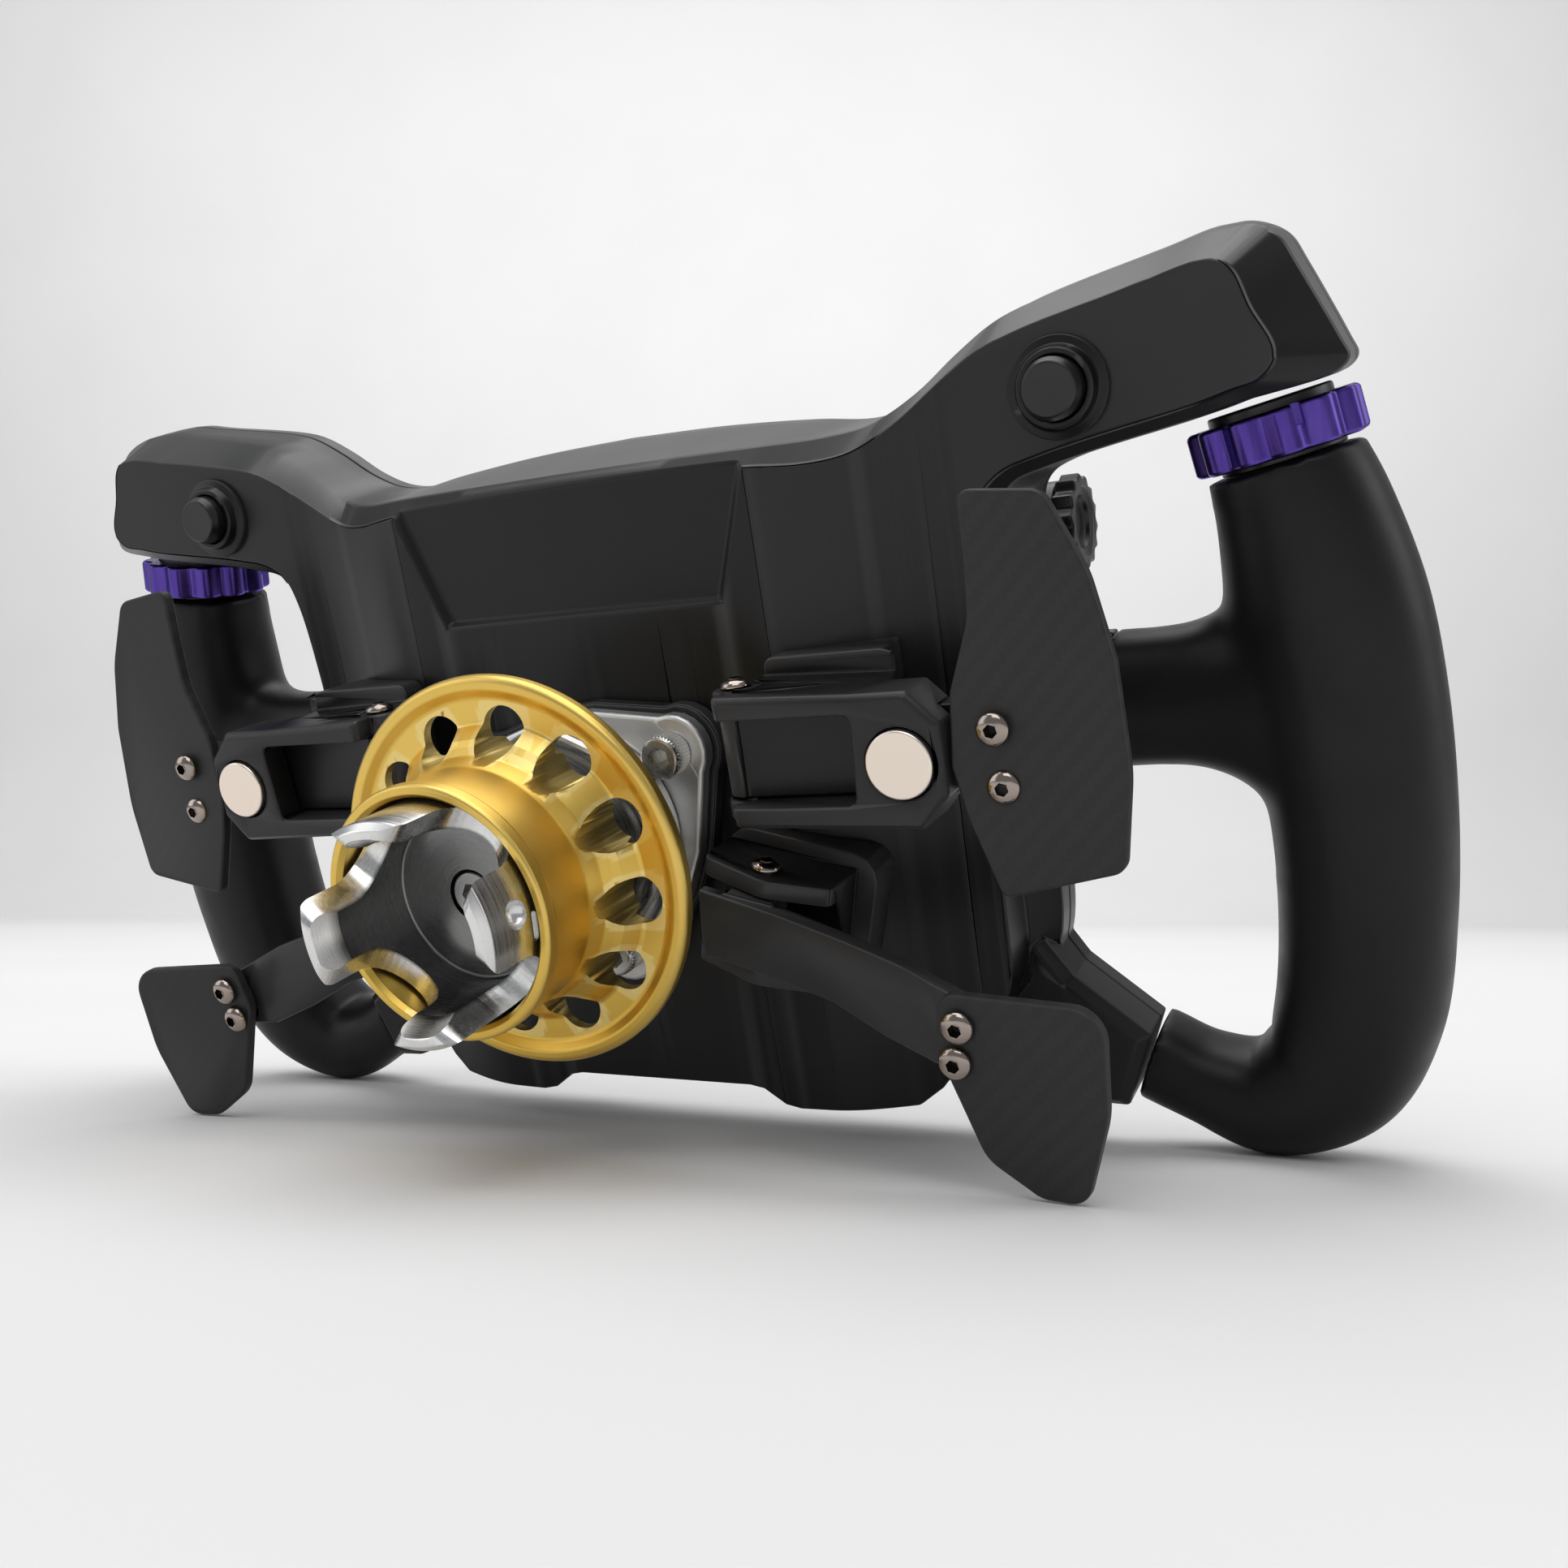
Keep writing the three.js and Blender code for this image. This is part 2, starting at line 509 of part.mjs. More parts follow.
function shifterArm() {
  const [px, py] = SHIFTER_PIVOT;
  const bar = floorPlan([[px - 1, py + 3.6], [82.6, 25.3], [84.6, 28], [98.5, 27.6], [98.5, 22.4], [84, 19.6],
    [px - 1, py - 3.6]], ARM_LOW, ARM_HIGH);
  const taps = SHIFTER_SCREWS.map(([, x, z]) => rodY(1.65, 15, 35, x, z, 12));
  return cut(join(bar, rodZ(3.8, ARM_LOW, ARM_HIGH, px, py)), rodZ(1.9, 0, 40, px, py, 16), ...taps);
}

function shifterPlate() {
  const outline = rounded([
    [88, 57.4, 2], [101.6, 55.9, 3.5], [107.6, 43], [110.6, 29, 12], [111.5, 11.5, 30], [109.4, -4.3, 3],
    [89, -8.6, 1.6], [84.5, 4.4, 8], [82.4, 13.5], [83.4, 25.6, 4], [87.6, 37, 10], [88, 46],
  ], 3);
  const flat = loft([
    ringAt(inset(outline, 0.5), 28.4),
    ringAt(outline, 28.9),
    ringAt(outline, 28.4 + PADDLE_THICK - 0.6),
    ringAt(inset(outline, 0.6), 28.4 + PADDLE_THICK),
  ]);
  const holes = SHIFTER_SCREWS.map(([, x, z]) => rodY(1.7, 20, 40, x, z, 12));
  return cut(turnAbout(flat, [1, 0, 0], -SHIFTER_TILT, [0, 28.4, 15]), ...holes);
}

// ---- screws -------------------------------------------------------------------------------------------
// Button-head M3 screw along Y with its head's underside at y, shank towards -Y.
function buttonHead(x, y, z, shank) {
  const body = turned([
    [0, -shank], [1.5, -shank], [1.5, 0.05], [2.85, 0.05], [2.4, 1.3], [1.5, 1.65], [0, 1.65],
  ], 12);
  const socket = plate(circle(1.15, 6), 0.7, 3);
  return placed(cut(body, socket), new THREE.Matrix4().makeTranslation(x, y, z));
}

const SHIFTER_SCREWS = [['upper', 90.5, 19.8], ['lower', 91, 10.1]];
const CLUTCH_SCREWS = [['upper', 82.4, -26.4], ['lower', 81.2, -32.7]];

// The same screw stood upright as a pivot, head up.
function pivotScrew([x, y], z, length) {
  const upright = new THREE.Matrix4().makeTranslation(x, y, z).multiply(new THREE.Matrix4().makeRotationX(Math.PI / 2));
  return placed(buttonHead(0, 0, 0, length), upright);
}

// ---- clutches -----------------------------------------------------------------------------------------
// Clutch shapes are drawn round the hinge, X outward, Z up along the hinge from the top of the bracket, and
// then turned down by the slope of the clutch.
function onClutchHinge(geometry) {
  const [x, y, z] = CLUTCH_PIVOT;
  return placed(geometry, new THREE.Matrix4().makeTranslation(x, y, z)
    .multiply(new THREE.Matrix4().makeRotationY(CLUTCH_SLOPE)));
}

function clutchBracket() {
  const pod = plate(rounded([[-12.6, 3, 5], [18.6, 3, 5], [18, -21.6, 4], [-12.2, -21.6, 4]], 3), -22.5, -9.4);
  const ear = floorPlan(rounded([[-12, -14], [-12, 1.4, 2.4], [2.4, 5.6, 6], [14.4, 2, 1.5], [14.4, -14]], 3), -20.8, 0);
  const room = floorPlan([[-30, -9], [40, -9], [40, 30], [-30, 30]], -17.3, -3.5);
  const bore = rodZ(1.9, -40, 20, 0, 0, 16);
  return cut(onClutchHinge(cut(join(pod, ear), room, bore)), crownBlock(GAP));
}

function clutchArm() {
  const side = plate([[30, -7.9], [44, -11.5], [60, -15.5], [71, -18.6], [85.6, -25.2], [84.4, -35.4],
    [75.5, -35.6], [66, -32.2], [56, -27.4], [44, -24.4], [28.6, -20.6]], 10, 60);
  const top = floorPlan([[29, 26.9], [29, 29.6], [46, 31.4], [60, 34.4], [76.5, 38], [87, 39.1], [87, 35.6], [77, 34.5],
    [61, 31], [47, 27.6]], -60, 10);
  const slab = common(side, top);
  const boss = floorPlan([...circle(4.8, 12).slice(6), [4.8, 6.2], [-4.8, 6.2]], -16.8, -3.9);
  const outline = cut(join(slab, onClutchHinge(boss)), onClutchHinge(rodZ(1.9, -60, 40, 0, 0, 16)));
  return cut(outline, ...CLUTCH_SCREWS.map(([, x, z]) => rodY(1.7, 34, 60, x, z, 12)));
}

const clutchPlateY = (x) => 39 + (x - 78) * Math.tan(CLUTCH_TILT);

function clutchPlate() {
  const outline = rounded([
    [79.6, -21, 3.4], [107.6, -21.8, 5.5], [106.4, -40, 20], [101.2, -55.8, 4], [93.5, -55.8, 5], [84.4, -50, 7],
    [77.6, -30.6, 5],
  ], 4);
  const flat = loft([
    ringAt(inset(outline, 0.5), 0),
    ringAt(outline, 0.5),
    ringAt(outline, PADDLE_THICK - 0.6),
    ringAt(inset(outline, 0.6), PADDLE_THICK),
  ]);
  const leaned = turnAbout(flat, [0, 0, 1], CLUTCH_TILT, [78, 0, 0]);
  const raised = placed(leaned, new THREE.Matrix4().makeTranslation(0, 39.4, 0));
  return cut(raised, ...CLUTCH_SCREWS.map(([, x, z]) => rodY(1.7, 30, 60, x, z, 12)));
}

// ---- hub and quick release ----------------------------------------------------------------------------
const SPACER = [CROWN + GAP, 12.2];
const ADAPTER = [12.5, 15.8];

function triLobe(lobeR, waistR) {
  const points = [];
  for (const [x, z] of boltPlaces) {
    const away = Math.atan2(z, x);
    for (let k = -4; k <= 4; k++) {
      const angle = away + k * Math.PI / 10;
      points.push([x + lobeR * Math.cos(angle), z + lobeR * Math.sin(angle)]);
    }
    const middle = away + Math.PI / 3;
    points.push([waistR * Math.cos(middle - 0.2), waistR * Math.sin(middle - 0.2)]);
    points.push([waistR * Math.cos(middle + 0.2), waistR * Math.sin(middle + 0.2)]);
  }
  return points;
}

function lobedPlate(lobeR, waistR, y0, y1) {
  const holes = boltPlaces.map(([x, z]) => rodY(2.75, y0 - 1, y1 + 1, x, z, 12));
  return cut(chamferedPlate(triLobe(lobeR, waistR), y0, y1, 0.5), ...holes);
}

function capScrew([x, z]) {
  const head = ADAPTER[1] + 0.1;
  const body = turned([
    [0, 1], [2.5, 1], [2.5, head], [4.25, head], [4.25, head + 4.6], [3.9, head + 5], [0, head + 5],
  ], 16);
  const socket = plate(circle(2.3, 6), head + 2.4, head + 6);
  return placed(cut(body, socket), new THREE.Matrix4().makeTranslation(x, 0, z));
}

function quickReleaseNose() {
  const body = turned([
    [0, ADAPTER[1] + GAP], [NOSE_R, ADAPTER[1] + GAP], [NOSE_R, NOSE_END - 1.4], [NOSE_R - 1.1, NOSE_END],
    [NOSE_BORE_R + 1.9, NOSE_END], [NOSE_BORE_R, NOSE_END - 5], [NOSE_BORE_R, NOSE_FLOOR], [0, NOSE_FLOOR],
  ], 48);
  const slotSide = [[10.5, NOSE_END + 5], [10.5, NOSE_END], [9, 76.6], [7.9, 75.5], [7.5, 74], [7.5, 68], [6.5, 64.4],
    [4.2, 61.8]];
  const slotOutline = [...slotSide, [0, 60.6], ...slotSide.map(([across, y]) => [-across, y]).reverse()];
  const slot = loft([-30, 30].map((far) => slotOutline.map(([across, y]) => [far, y, across])), 1, 2);
  const slots = [45, 135].map((degrees) => turnAbout(slot, [0, 1, 0], degrees * Math.PI / 180 - HUB_TURN, [0, 0, 0]));
  const centreBore = join(rodY(2.8, 22, 52, 0, 0, 16), rodY(4.8, NOSE_FLOOR - 5.1, NOSE_FLOOR + 1, 0, 0, 24));
  return cut(body, ...slots, centreBore);
}

function noseScrew() {
  const low = NOSE_FLOOR - 5;
  const body = turned([
    [0, 23], [2.5, 23], [2.5, low], [4.25, low], [4.25, low + 4.6], [3.9, low + 5], [0, low + 5],
  ], 16);
  return cut(body, plate(circle(2.3, 6), low + 2.4, low + 6));
}

function releaseRing() {
  const body = turned([
    [RING_BORE_R, 38.6], [24.6, 38.6], [25.4, 41.4], [FLANGE_R - 0.8, 41.4], [FLANGE_R, 42.2], [FLANGE_R, 43.8],
    [FLANGE_R - 1.2, 44.8], [34.4, 44.6], [32.6, 43.4], [28, 43.4], [25.8, 46.2], [24.9, 47.4], [23.6, 49],
    [22.6, 52], [22.3, 61.8], [23, 63], [22.8, 65.4], [21.2, 65.4], [RING_BORE_R, 64],
  ], 40);
  const holes = Array.from({ length: 12 }, (_, i) => {
    const angle = (i + 0.5) * Math.PI / 6 + HUB_TURN;
    return rodY(4.4, 30, 58, 27.2 * Math.cos(angle), 27.2 * Math.sin(angle), 14);
  });
  return cut(body, ...holes);
}

function releaseSpring() {
  const turns = 3;
  const start = 22.2;
  const rise = 2.2;
  const path = new THREE.CatmullRomCurve3(Array.from({ length: turns * 12 + 1 }, (_, i) => {
    const angle = 2 * Math.PI * i / 12;
    return new THREE.Vector3(21.9 * Math.cos(angle), start + rise * i / 12, 21.9 * Math.sin(angle));
  }));
  const section = new THREE.Shape(circle(0.8, 5).map(([x, y]) => new THREE.Vector2(x, y)));
  const wire = new THREE.ExtrudeGeometry(section, { steps: turns * 14, extrudePath: path, bevelEnabled: false });
  return fromSolid(solid(wire));
}

// ---- put together -------------------------------------------------------------------------------------
add('rear_housing', rearHousing(), 'anodised');
add('front_plate', frontPlate(), 'anodised');
add('display_panel', plate(DISPLAY, PLATE_FRONT - 0.8, PLATE_REAR - 0.4), 'glass');
add('light_bar', plate(LIGHT_BAR, PLATE_FRONT - 0.8, PLATE_REAR - 0.4), 'plastic');
add('circuit_board', plate([[-50, 48], [50, 48], [50, -44], [-50, -44]], -12, -10.4), 'board');
addPair('knob_block', knobBlock(), 'anodised');
addPair('side_knob', sideKnob(), 'plastic');
for (const [place, x, z] of FRONT_BUTTONS) addPair(`front_button_${place}`, frontButton(x, z), 'plastic');

addPair('grip', grip(), 'rubber');
addPair('thumb_ring', thumbRing(), 'purple');
addPair('ring_collar', onRingAxis(rodY(COLLAR_R, GAP, 10.6, 0, 0, 24)), 'plastic');
addPair('button_collar', buttonCollar(), 'anodised');
addPair('rear_button', rearButton(), 'plastic');

addPair('shifter_bracket', shifterBracket(), 'anodised');
addPair('shifter_magnet', shifterMagnet(), 'nickel');
addPair('shifter_arm', shifterArm(), 'anodised');
addPair('shifter_plate', shifterPlate(), 'carbon');
addPair('shifter_pivot_screw', pivotScrew(SHIFTER_PIVOT, 27.9, 22), 'nickel');
for (const [place, x, z] of SHIFTER_SCREWS) {
  const y = 28.4 + PADDLE_THICK + (z - 15) * Math.tan(SHIFTER_TILT) + 0.3;
  addPair(`shifter_screw_${place}`, buttonHead(x, y, z, 6), 'nickel');
}

addPair('clutch_bracket', clutchBracket(), 'anodised');
addPair('clutch_arm', clutchArm(), 'anodised');
addPair('clutch_plate', clutchPlate(), 'carbon');
addPair('clutch_pivot_screw', onClutchHinge(pivotScrew([0, 0], 0.2, 22)), 'nickel');
for (const [place, x, z] of CLUTCH_SCREWS) {
  addPair(`clutch_screw_${place}`, buttonHead(x, clutchPlateY(x) + PADDLE_THICK + 0.9, z, 5), 'nickel');
}

add('adapter_spacer', lobedPlate(8.6, 24.6, ...SPACER), 'anodised');
add('adapter_plate', lobedPlate(7.2, 23.6, ...ADAPTER), 'aluminium');
boltPlaces.forEach((place, i) => add(`adapter_screw_${i + 1}`, capScrew(place), 'aluminium'));
add('quick_release_nose', quickReleaseNose(), 'aluminium');
add('nose_screw', noseScrew(), 'aluminium');
add('release_ring', releaseRing(), 'gold');
add('release_spring', releaseSpring(), 'nickel');

const assembly = new THREE.Group();
wheel.rotation.x = -LEAN;
assembly.add(wheel);
export default assembly;
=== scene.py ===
"""Looks of a racing wheel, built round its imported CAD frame."""
import json
import math

import bmesh
import bpy
import numpy as np
from mathutils import Matrix, Vector


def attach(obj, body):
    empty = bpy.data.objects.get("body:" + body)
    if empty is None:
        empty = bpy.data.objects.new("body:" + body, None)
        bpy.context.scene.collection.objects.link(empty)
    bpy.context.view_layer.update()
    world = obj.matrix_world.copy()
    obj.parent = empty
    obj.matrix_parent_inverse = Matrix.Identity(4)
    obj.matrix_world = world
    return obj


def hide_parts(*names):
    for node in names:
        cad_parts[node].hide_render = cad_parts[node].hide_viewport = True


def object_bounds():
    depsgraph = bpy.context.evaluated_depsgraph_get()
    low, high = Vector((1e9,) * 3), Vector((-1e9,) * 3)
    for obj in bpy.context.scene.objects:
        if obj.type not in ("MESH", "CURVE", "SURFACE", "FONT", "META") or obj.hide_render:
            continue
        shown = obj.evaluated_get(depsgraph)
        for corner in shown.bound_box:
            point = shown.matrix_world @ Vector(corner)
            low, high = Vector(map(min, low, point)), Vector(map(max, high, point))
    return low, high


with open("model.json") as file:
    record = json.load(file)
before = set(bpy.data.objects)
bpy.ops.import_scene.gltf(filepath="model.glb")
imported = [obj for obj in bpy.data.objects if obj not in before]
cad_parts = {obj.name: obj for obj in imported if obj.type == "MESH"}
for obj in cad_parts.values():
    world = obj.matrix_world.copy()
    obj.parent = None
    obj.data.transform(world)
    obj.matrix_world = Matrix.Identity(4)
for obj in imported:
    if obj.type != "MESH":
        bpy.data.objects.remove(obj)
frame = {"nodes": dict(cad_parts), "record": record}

cad_box = [list(corner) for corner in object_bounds()]
NODES = frame["nodes"]
BODY_OF = {node: body for body, nodes in frame["record"]["behaviour"]["bodies"].items() for node in nodes}
SLOT_OF = {part["node"]: part["material_slot"] for part in frame["record"]["subparts"]}

# The wheel is drawn upright in millimetres, with X to the driver's right, Y along the hub to the wheel base
# and Z up, and then leans back onto its grips. What is bolted to the hub is turned a little about it.
MM = 0.001
LEAN = math.radians(20)
TO_ROW = Matrix.Rotation(-LEAN, 4, "X") @ Matrix.Scale(MM, 4)
TO_DESIGN = TO_ROW.inverted()
HUB_TURN = math.radians(-5)


# ---- camera -------------------------------------------------------------------------------------------
def add_camera():
    """The camera at the photo's angle; returns the direction in which it looks."""
    data = bpy.data.cameras.new("camera")
    camera = bpy.data.objects.new("camera", data)
    bpy.context.scene.collection.objects.link(camera)
    right = Vector((-0.88643, -0.46283, 0.00604))
    down = Vector((0.03258, -0.07541, -0.99662))
    forward = Vector((0.46172, -0.88323, 0.08192))
    turn = Matrix((right, -down, -forward)).transposed().to_4x4()
    camera.matrix_world = Matrix.Translation((-0.17012, 0.25969, -0.01827)) @ turn
    data.sensor_width = 36
    data.lens = 34.39
    data.shift_y = -0.00828
    data.clip_start = 0.01
    data.clip_end = 50
    bpy.context.scene.camera = camera
    return forward


# ---- node materials -----------------------------------------------------------------------------------
class Material:
    """A node material with coordinates in the upright design frame, in millimetres."""

    def __init__(self, name, base, rough, metal=0.0, **shader):
        self.material = bpy.data.materials.new(name)
        self.material.use_nodes = True
        self.tree = self.material.node_tree
        self.bsdf = self.tree.nodes["Principled BSDF"]
        self.set("Base Color", (*base, 1))
        self.set("Roughness", rough)
        self.set("Metallic", metal)
        for key, value in shader.items():
            self.set(key.replace("_", " "), value)
        coordinates = self.node("ShaderNodeTexCoord")
        mapping = self.node("ShaderNodeMapping")
        mapping.inputs["Rotation"].default_value = (LEAN, 0, 0)
        mapping.inputs["Scale"].default_value = (1 / MM,) * 3
        self.link(coordinates.outputs["Object"], mapping.inputs["Vector"])
        self.place = mapping.outputs[0]
        split = self.node("ShaderNodeSeparateXYZ")
        self.link(self.place, split.inputs[0])
        self.x, self.y, self.z = split.outputs
        self.height = None

    def set(self, key, value):
        self.bsdf.inputs[key].default_value = value

    def node(self, kind, **settings):
        node = self.tree.nodes.new(kind)
        for key, value in settings.items():
            setattr(node, key, value)
        return node

    def link(self, a, b):
        self.tree.links.new(a, b)

    def math(self, operation, *values):
        node = self.node("ShaderNodeMath", operation=operation)
        for socket, value in zip(node.inputs, values):
            if isinstance(value, (int, float)):
                socket.default_value = value
            else:
                self.link(value, socket)
        return node.outputs[0]

    def vector(self, x, y, z):
        node = self.node("ShaderNodeCombineXYZ")
        for socket, value in zip(node.inputs, (x, y, z)):
            if isinstance(value, (int, float)):
                socket.default_value = value
            else:
                self.link(value, socket)
        return node.outputs[0]

    def noise(self, scale, detail=2.0, place=None):
        """Noise from 0 to 1; scale is in cycles per millimetre."""
        node = self.node("ShaderNodeTexNoise")
        node.inputs["Scale"].default_value = scale
        node.inputs["Detail"].default_value = detail
        self.link(place or self.place, node.inputs["Vector"])
        return node.outputs["Fac"]

    def span(self, value, low, high, to_low, to_high):
        """The value with its range from low to high stretched over another range, and held at its ends."""
        node = self.node("ShaderNodeMapRange")
        self.link(value, node.inputs["Value"])
        for key, number in (("From Min", low), ("From Max", high), ("To Min", to_low), ("To Max", to_high)):
            node.inputs[key].default_value = number
        return node.outputs[0]

    def mix(self, share, first, second):
        """The first colour where the share is 0 and the second where it is 1."""
        node = self.node("ShaderNodeMix", data_type="RGBA")
        self.link(share, node.inputs[0])
        for socket, value in ((node.inputs[6], first), (node.inputs[7], second)):
            if isinstance(value, tuple):
                socket.default_value = (*value, 1)
            else:
                self.link(value, socket)
        return node.outputs[2]

    def colour(self, value):
        self.link(value, self.bsdf.inputs["Base Color"])
        return self

    def rough(self, value):
        self.link(value, self.bsdf.inputs["Roughness"])
        return self

    def bump(self, value, strength, distance):
        """Adds one more layer of relief; the distance is in metres."""
        node = self.node("ShaderNodeBump")
        node.inputs["Strength"].default_value = strength
        node.inputs["Distance"].default_value = distance
        self.link(value, node.inputs["Height"])
        if self.height:
            self.link(self.height, node.inputs["Normal"])
        self.height = node.outputs[0]
        self.link(self.height, self.bsdf.inputs["Normal"])
        return self

    def edges(self, low, high):
        """1 on sharp outer edges and 0 elsewhere; the lighter colour mixed in there is partly edge wear and
        partly a painted highlight.
        """
        geometry = self.node("ShaderNodeNewGeometry")
        return self.span(geometry.outputs["Pointiness"], low, high, 0, 1)


def blasted(name, base, light, edge_wear_and_highlight, rough, metal, bead=2.2, strength=0.25, **shader):
    """Bead-blasted and anodised aluminium: a fine even grain with faint cloudy patches, and lighter edges
    that are partly edge wear and partly a painted highlight.
    """
    m = Material(name, base, rough, metal, **shader)
    cloud = m.noise(0.02, 3)
    # The edge colour on sharp edges is partly wear and partly a painted highlight where light catches the
    # bevels.
    m.colour(m.mix(m.edges(0.515, 0.56), m.mix(m.span(cloud, 0.3, 0.7, 0, 1), base, light), edge_wear_and_highlight))
    m.rough(m.span(cloud, 0.3, 0.7, rough - 0.03, rough + 0.04))
    m.bump(m.noise(bead, 2), strength, 0.00004)
    return m.material


def moulded(name, base, light, rough, grain=1.2, strength=0.3, **shader):
    """Moulded plastic or rubber: a soft matte grain, with dust caught in places."""
    m = Material(name, base, rough, 0, **shader)
    patch = m.noise(0.035, 4)
    m.colour(m.mix(m.span(patch, 0.35, 0.75, 0, 1), base, light))
    m.rough(m.span(m.noise(0.12, 3), 0.3, 0.7, rough - 0.05, rough + 0.05))
    m.bump(m.noise(grain, 3), strength, 0.00006)
    return m.material


def turned_metal(name, base, dark, rough, tool=3.0, bore=None):
    """Bright turned metal: fine tool rings round the hub axis, faint smears and small marks.

    The tool's value sets how fine the rings are. Inside the bore's radius, if it is given, painted shade
    darkens the metal.
    """
    m = Material(name, base, rough, 1)
    radius = m.math("SQRT", m.math("ADD", m.math("MULTIPLY", m.x, m.x), m.math("MULTIPLY", m.z, m.z)))
    rings = m.noise(1, 2, m.vector(m.math("MULTIPLY", radius, tool), m.math("MULTIPLY", m.y, tool), 0.0))
    smear = m.noise(0.09, 4)
    colour = m.mix(m.span(smear, 0.4, 0.75, 0, 0.6), base, dark)
    # Painted shade: inside the bore's radius the colour falls to 0.3 of the base.
    if bore:
        colour = m.mix(m.span(radius, bore, bore + 0.6, 0, 1), tuple(0.3 * c for c in base), colour)
    m.colour(colour)
    grain = m.span(rings, 0.3, 0.7, rough - 0.05, rough + 0.05)
    m.rough(m.math("ADD", grain, m.span(smear, 0.35, 0.7, -0.03, 0.06)))
    m.bump(rings, 0.07, 0.00001)
    m.bump(m.noise(0.9, 4), 0.06, 0.00004)
    return m.material


def carbon(name):
    """Matte twill laminate: each tow passes over two and under two, shifted by one on every row."""
    m = Material(name, (0.03, 0.03, 0.03), 0.5, 0, Specular_IOR_Level=0.3)
    tow, period, fibre_count = 1.1, 4, 14
    keep_positive = 100 * period
    u = m.math("DIVIDE", m.x, tow)
    v = m.math("DIVIDE", m.z, tow)
    row = m.math("FLOOR", v)
    column = m.math("FLOOR", u)
    diagonal = m.math("ADD", m.math("ADD", column, row), keep_positive)
    over = m.math("LESS_THAN", m.math("MODULO", diagonal, period), 1.5)
    under = m.math("SUBTRACT", 1, over)
    across = m.math("PINGPONG", u, 0.5)
    along = m.math("PINGPONG", v, 0.5)
    arch = m.math("ADD", m.math("MULTIPLY", over, across), m.math("MULTIPLY", under, along))
    warp = m.noise(1, 2, m.vector(m.math("MULTIPLY", u, fibre_count), v, 0.0))
    weft = m.noise(1, 2, m.vector(u, m.math("MULTIPLY", v, fibre_count), 3.0))
    fibres = m.math("ADD", m.math("MULTIPLY", over, warp), m.math("MULTIPLY", under, weft))
    weave = m.math("ADD", m.math("MULTIPLY", over, 0.55), m.math("MULTIPLY", fibres, 0.45))
    face = m.mix(weave, (0.021, 0.0208, 0.0205), (0.029, 0.0286, 0.028))
    # Lighter colour on the sharp edges: partly edge wear, partly a painted highlight.
    m.colour(m.mix(m.edges(0.53, 0.62), face, (0.045, 0.045, 0.045)))
    m.rough(m.math("ADD", m.span(over, 0, 1, 0.5, 0.56), m.span(m.noise(0.05, 2), 0.3, 0.7, -0.03, 0.03)))
    m.bump(arch, 0.14, 0.00006)
    m.bump(m.noise(3, 2), 0.12, 0.00003)
    return m.material


def purple_metal(name):
    """Purple anodising with faint streaks that run up the ring."""
    m = Material(name, (0.08, 0.045, 0.3), 0.26, 1)
    around, along = 0.7, 0.08
    streak = m.noise(1, 3, m.vector(
        m.math("MULTIPLY", m.x, around), m.math("MULTIPLY", m.y, around), m.math("MULTIPLY", m.z, along)))
    m.colour(m.mix(m.span(streak, 0.25, 0.75, 0, 1), (0.075, 0.04, 0.28), (0.12, 0.075, 0.37)))
    m.rough(m.span(streak, 0.3, 0.7, 0.26, 0.34))
    m.bump(m.noise(2.4, 2), 0.12, 0.00003)
    return m.material


def board(name):
    """Green solder mask over a pattern of tracks."""
    m = Material(name, (0.01, 0.09, 0.04), 0.45, 0)
    tracks = m.node("ShaderNodeTexBrick")
    tracks.inputs["Scale"].default_value = 0.2
    m.link(m.vector(m.x, m.z, 0.0), tracks.inputs["Vector"])
    m.colour(m.mix(tracks.outputs["Fac"], (0.01, 0.09, 0.04), (0.03, 0.17, 0.08)))
    m.bump(m.noise(2), 0.1, 0.00003)
    return m.material


def dark_glass(name):
    """The display's glass, switched off, with faint smears."""
    m = Material(name, (0.004, 0.005, 0.007), 0.08, 0, Coat_Weight=0.6, Coat_Roughness=0.05)
    m.rough(m.span(m.noise(0.05, 4), 0.35, 0.7, 0.05, 0.16))
    m.bump(m.noise(0.15, 3), 0.02, 0.00005)
    return m.material


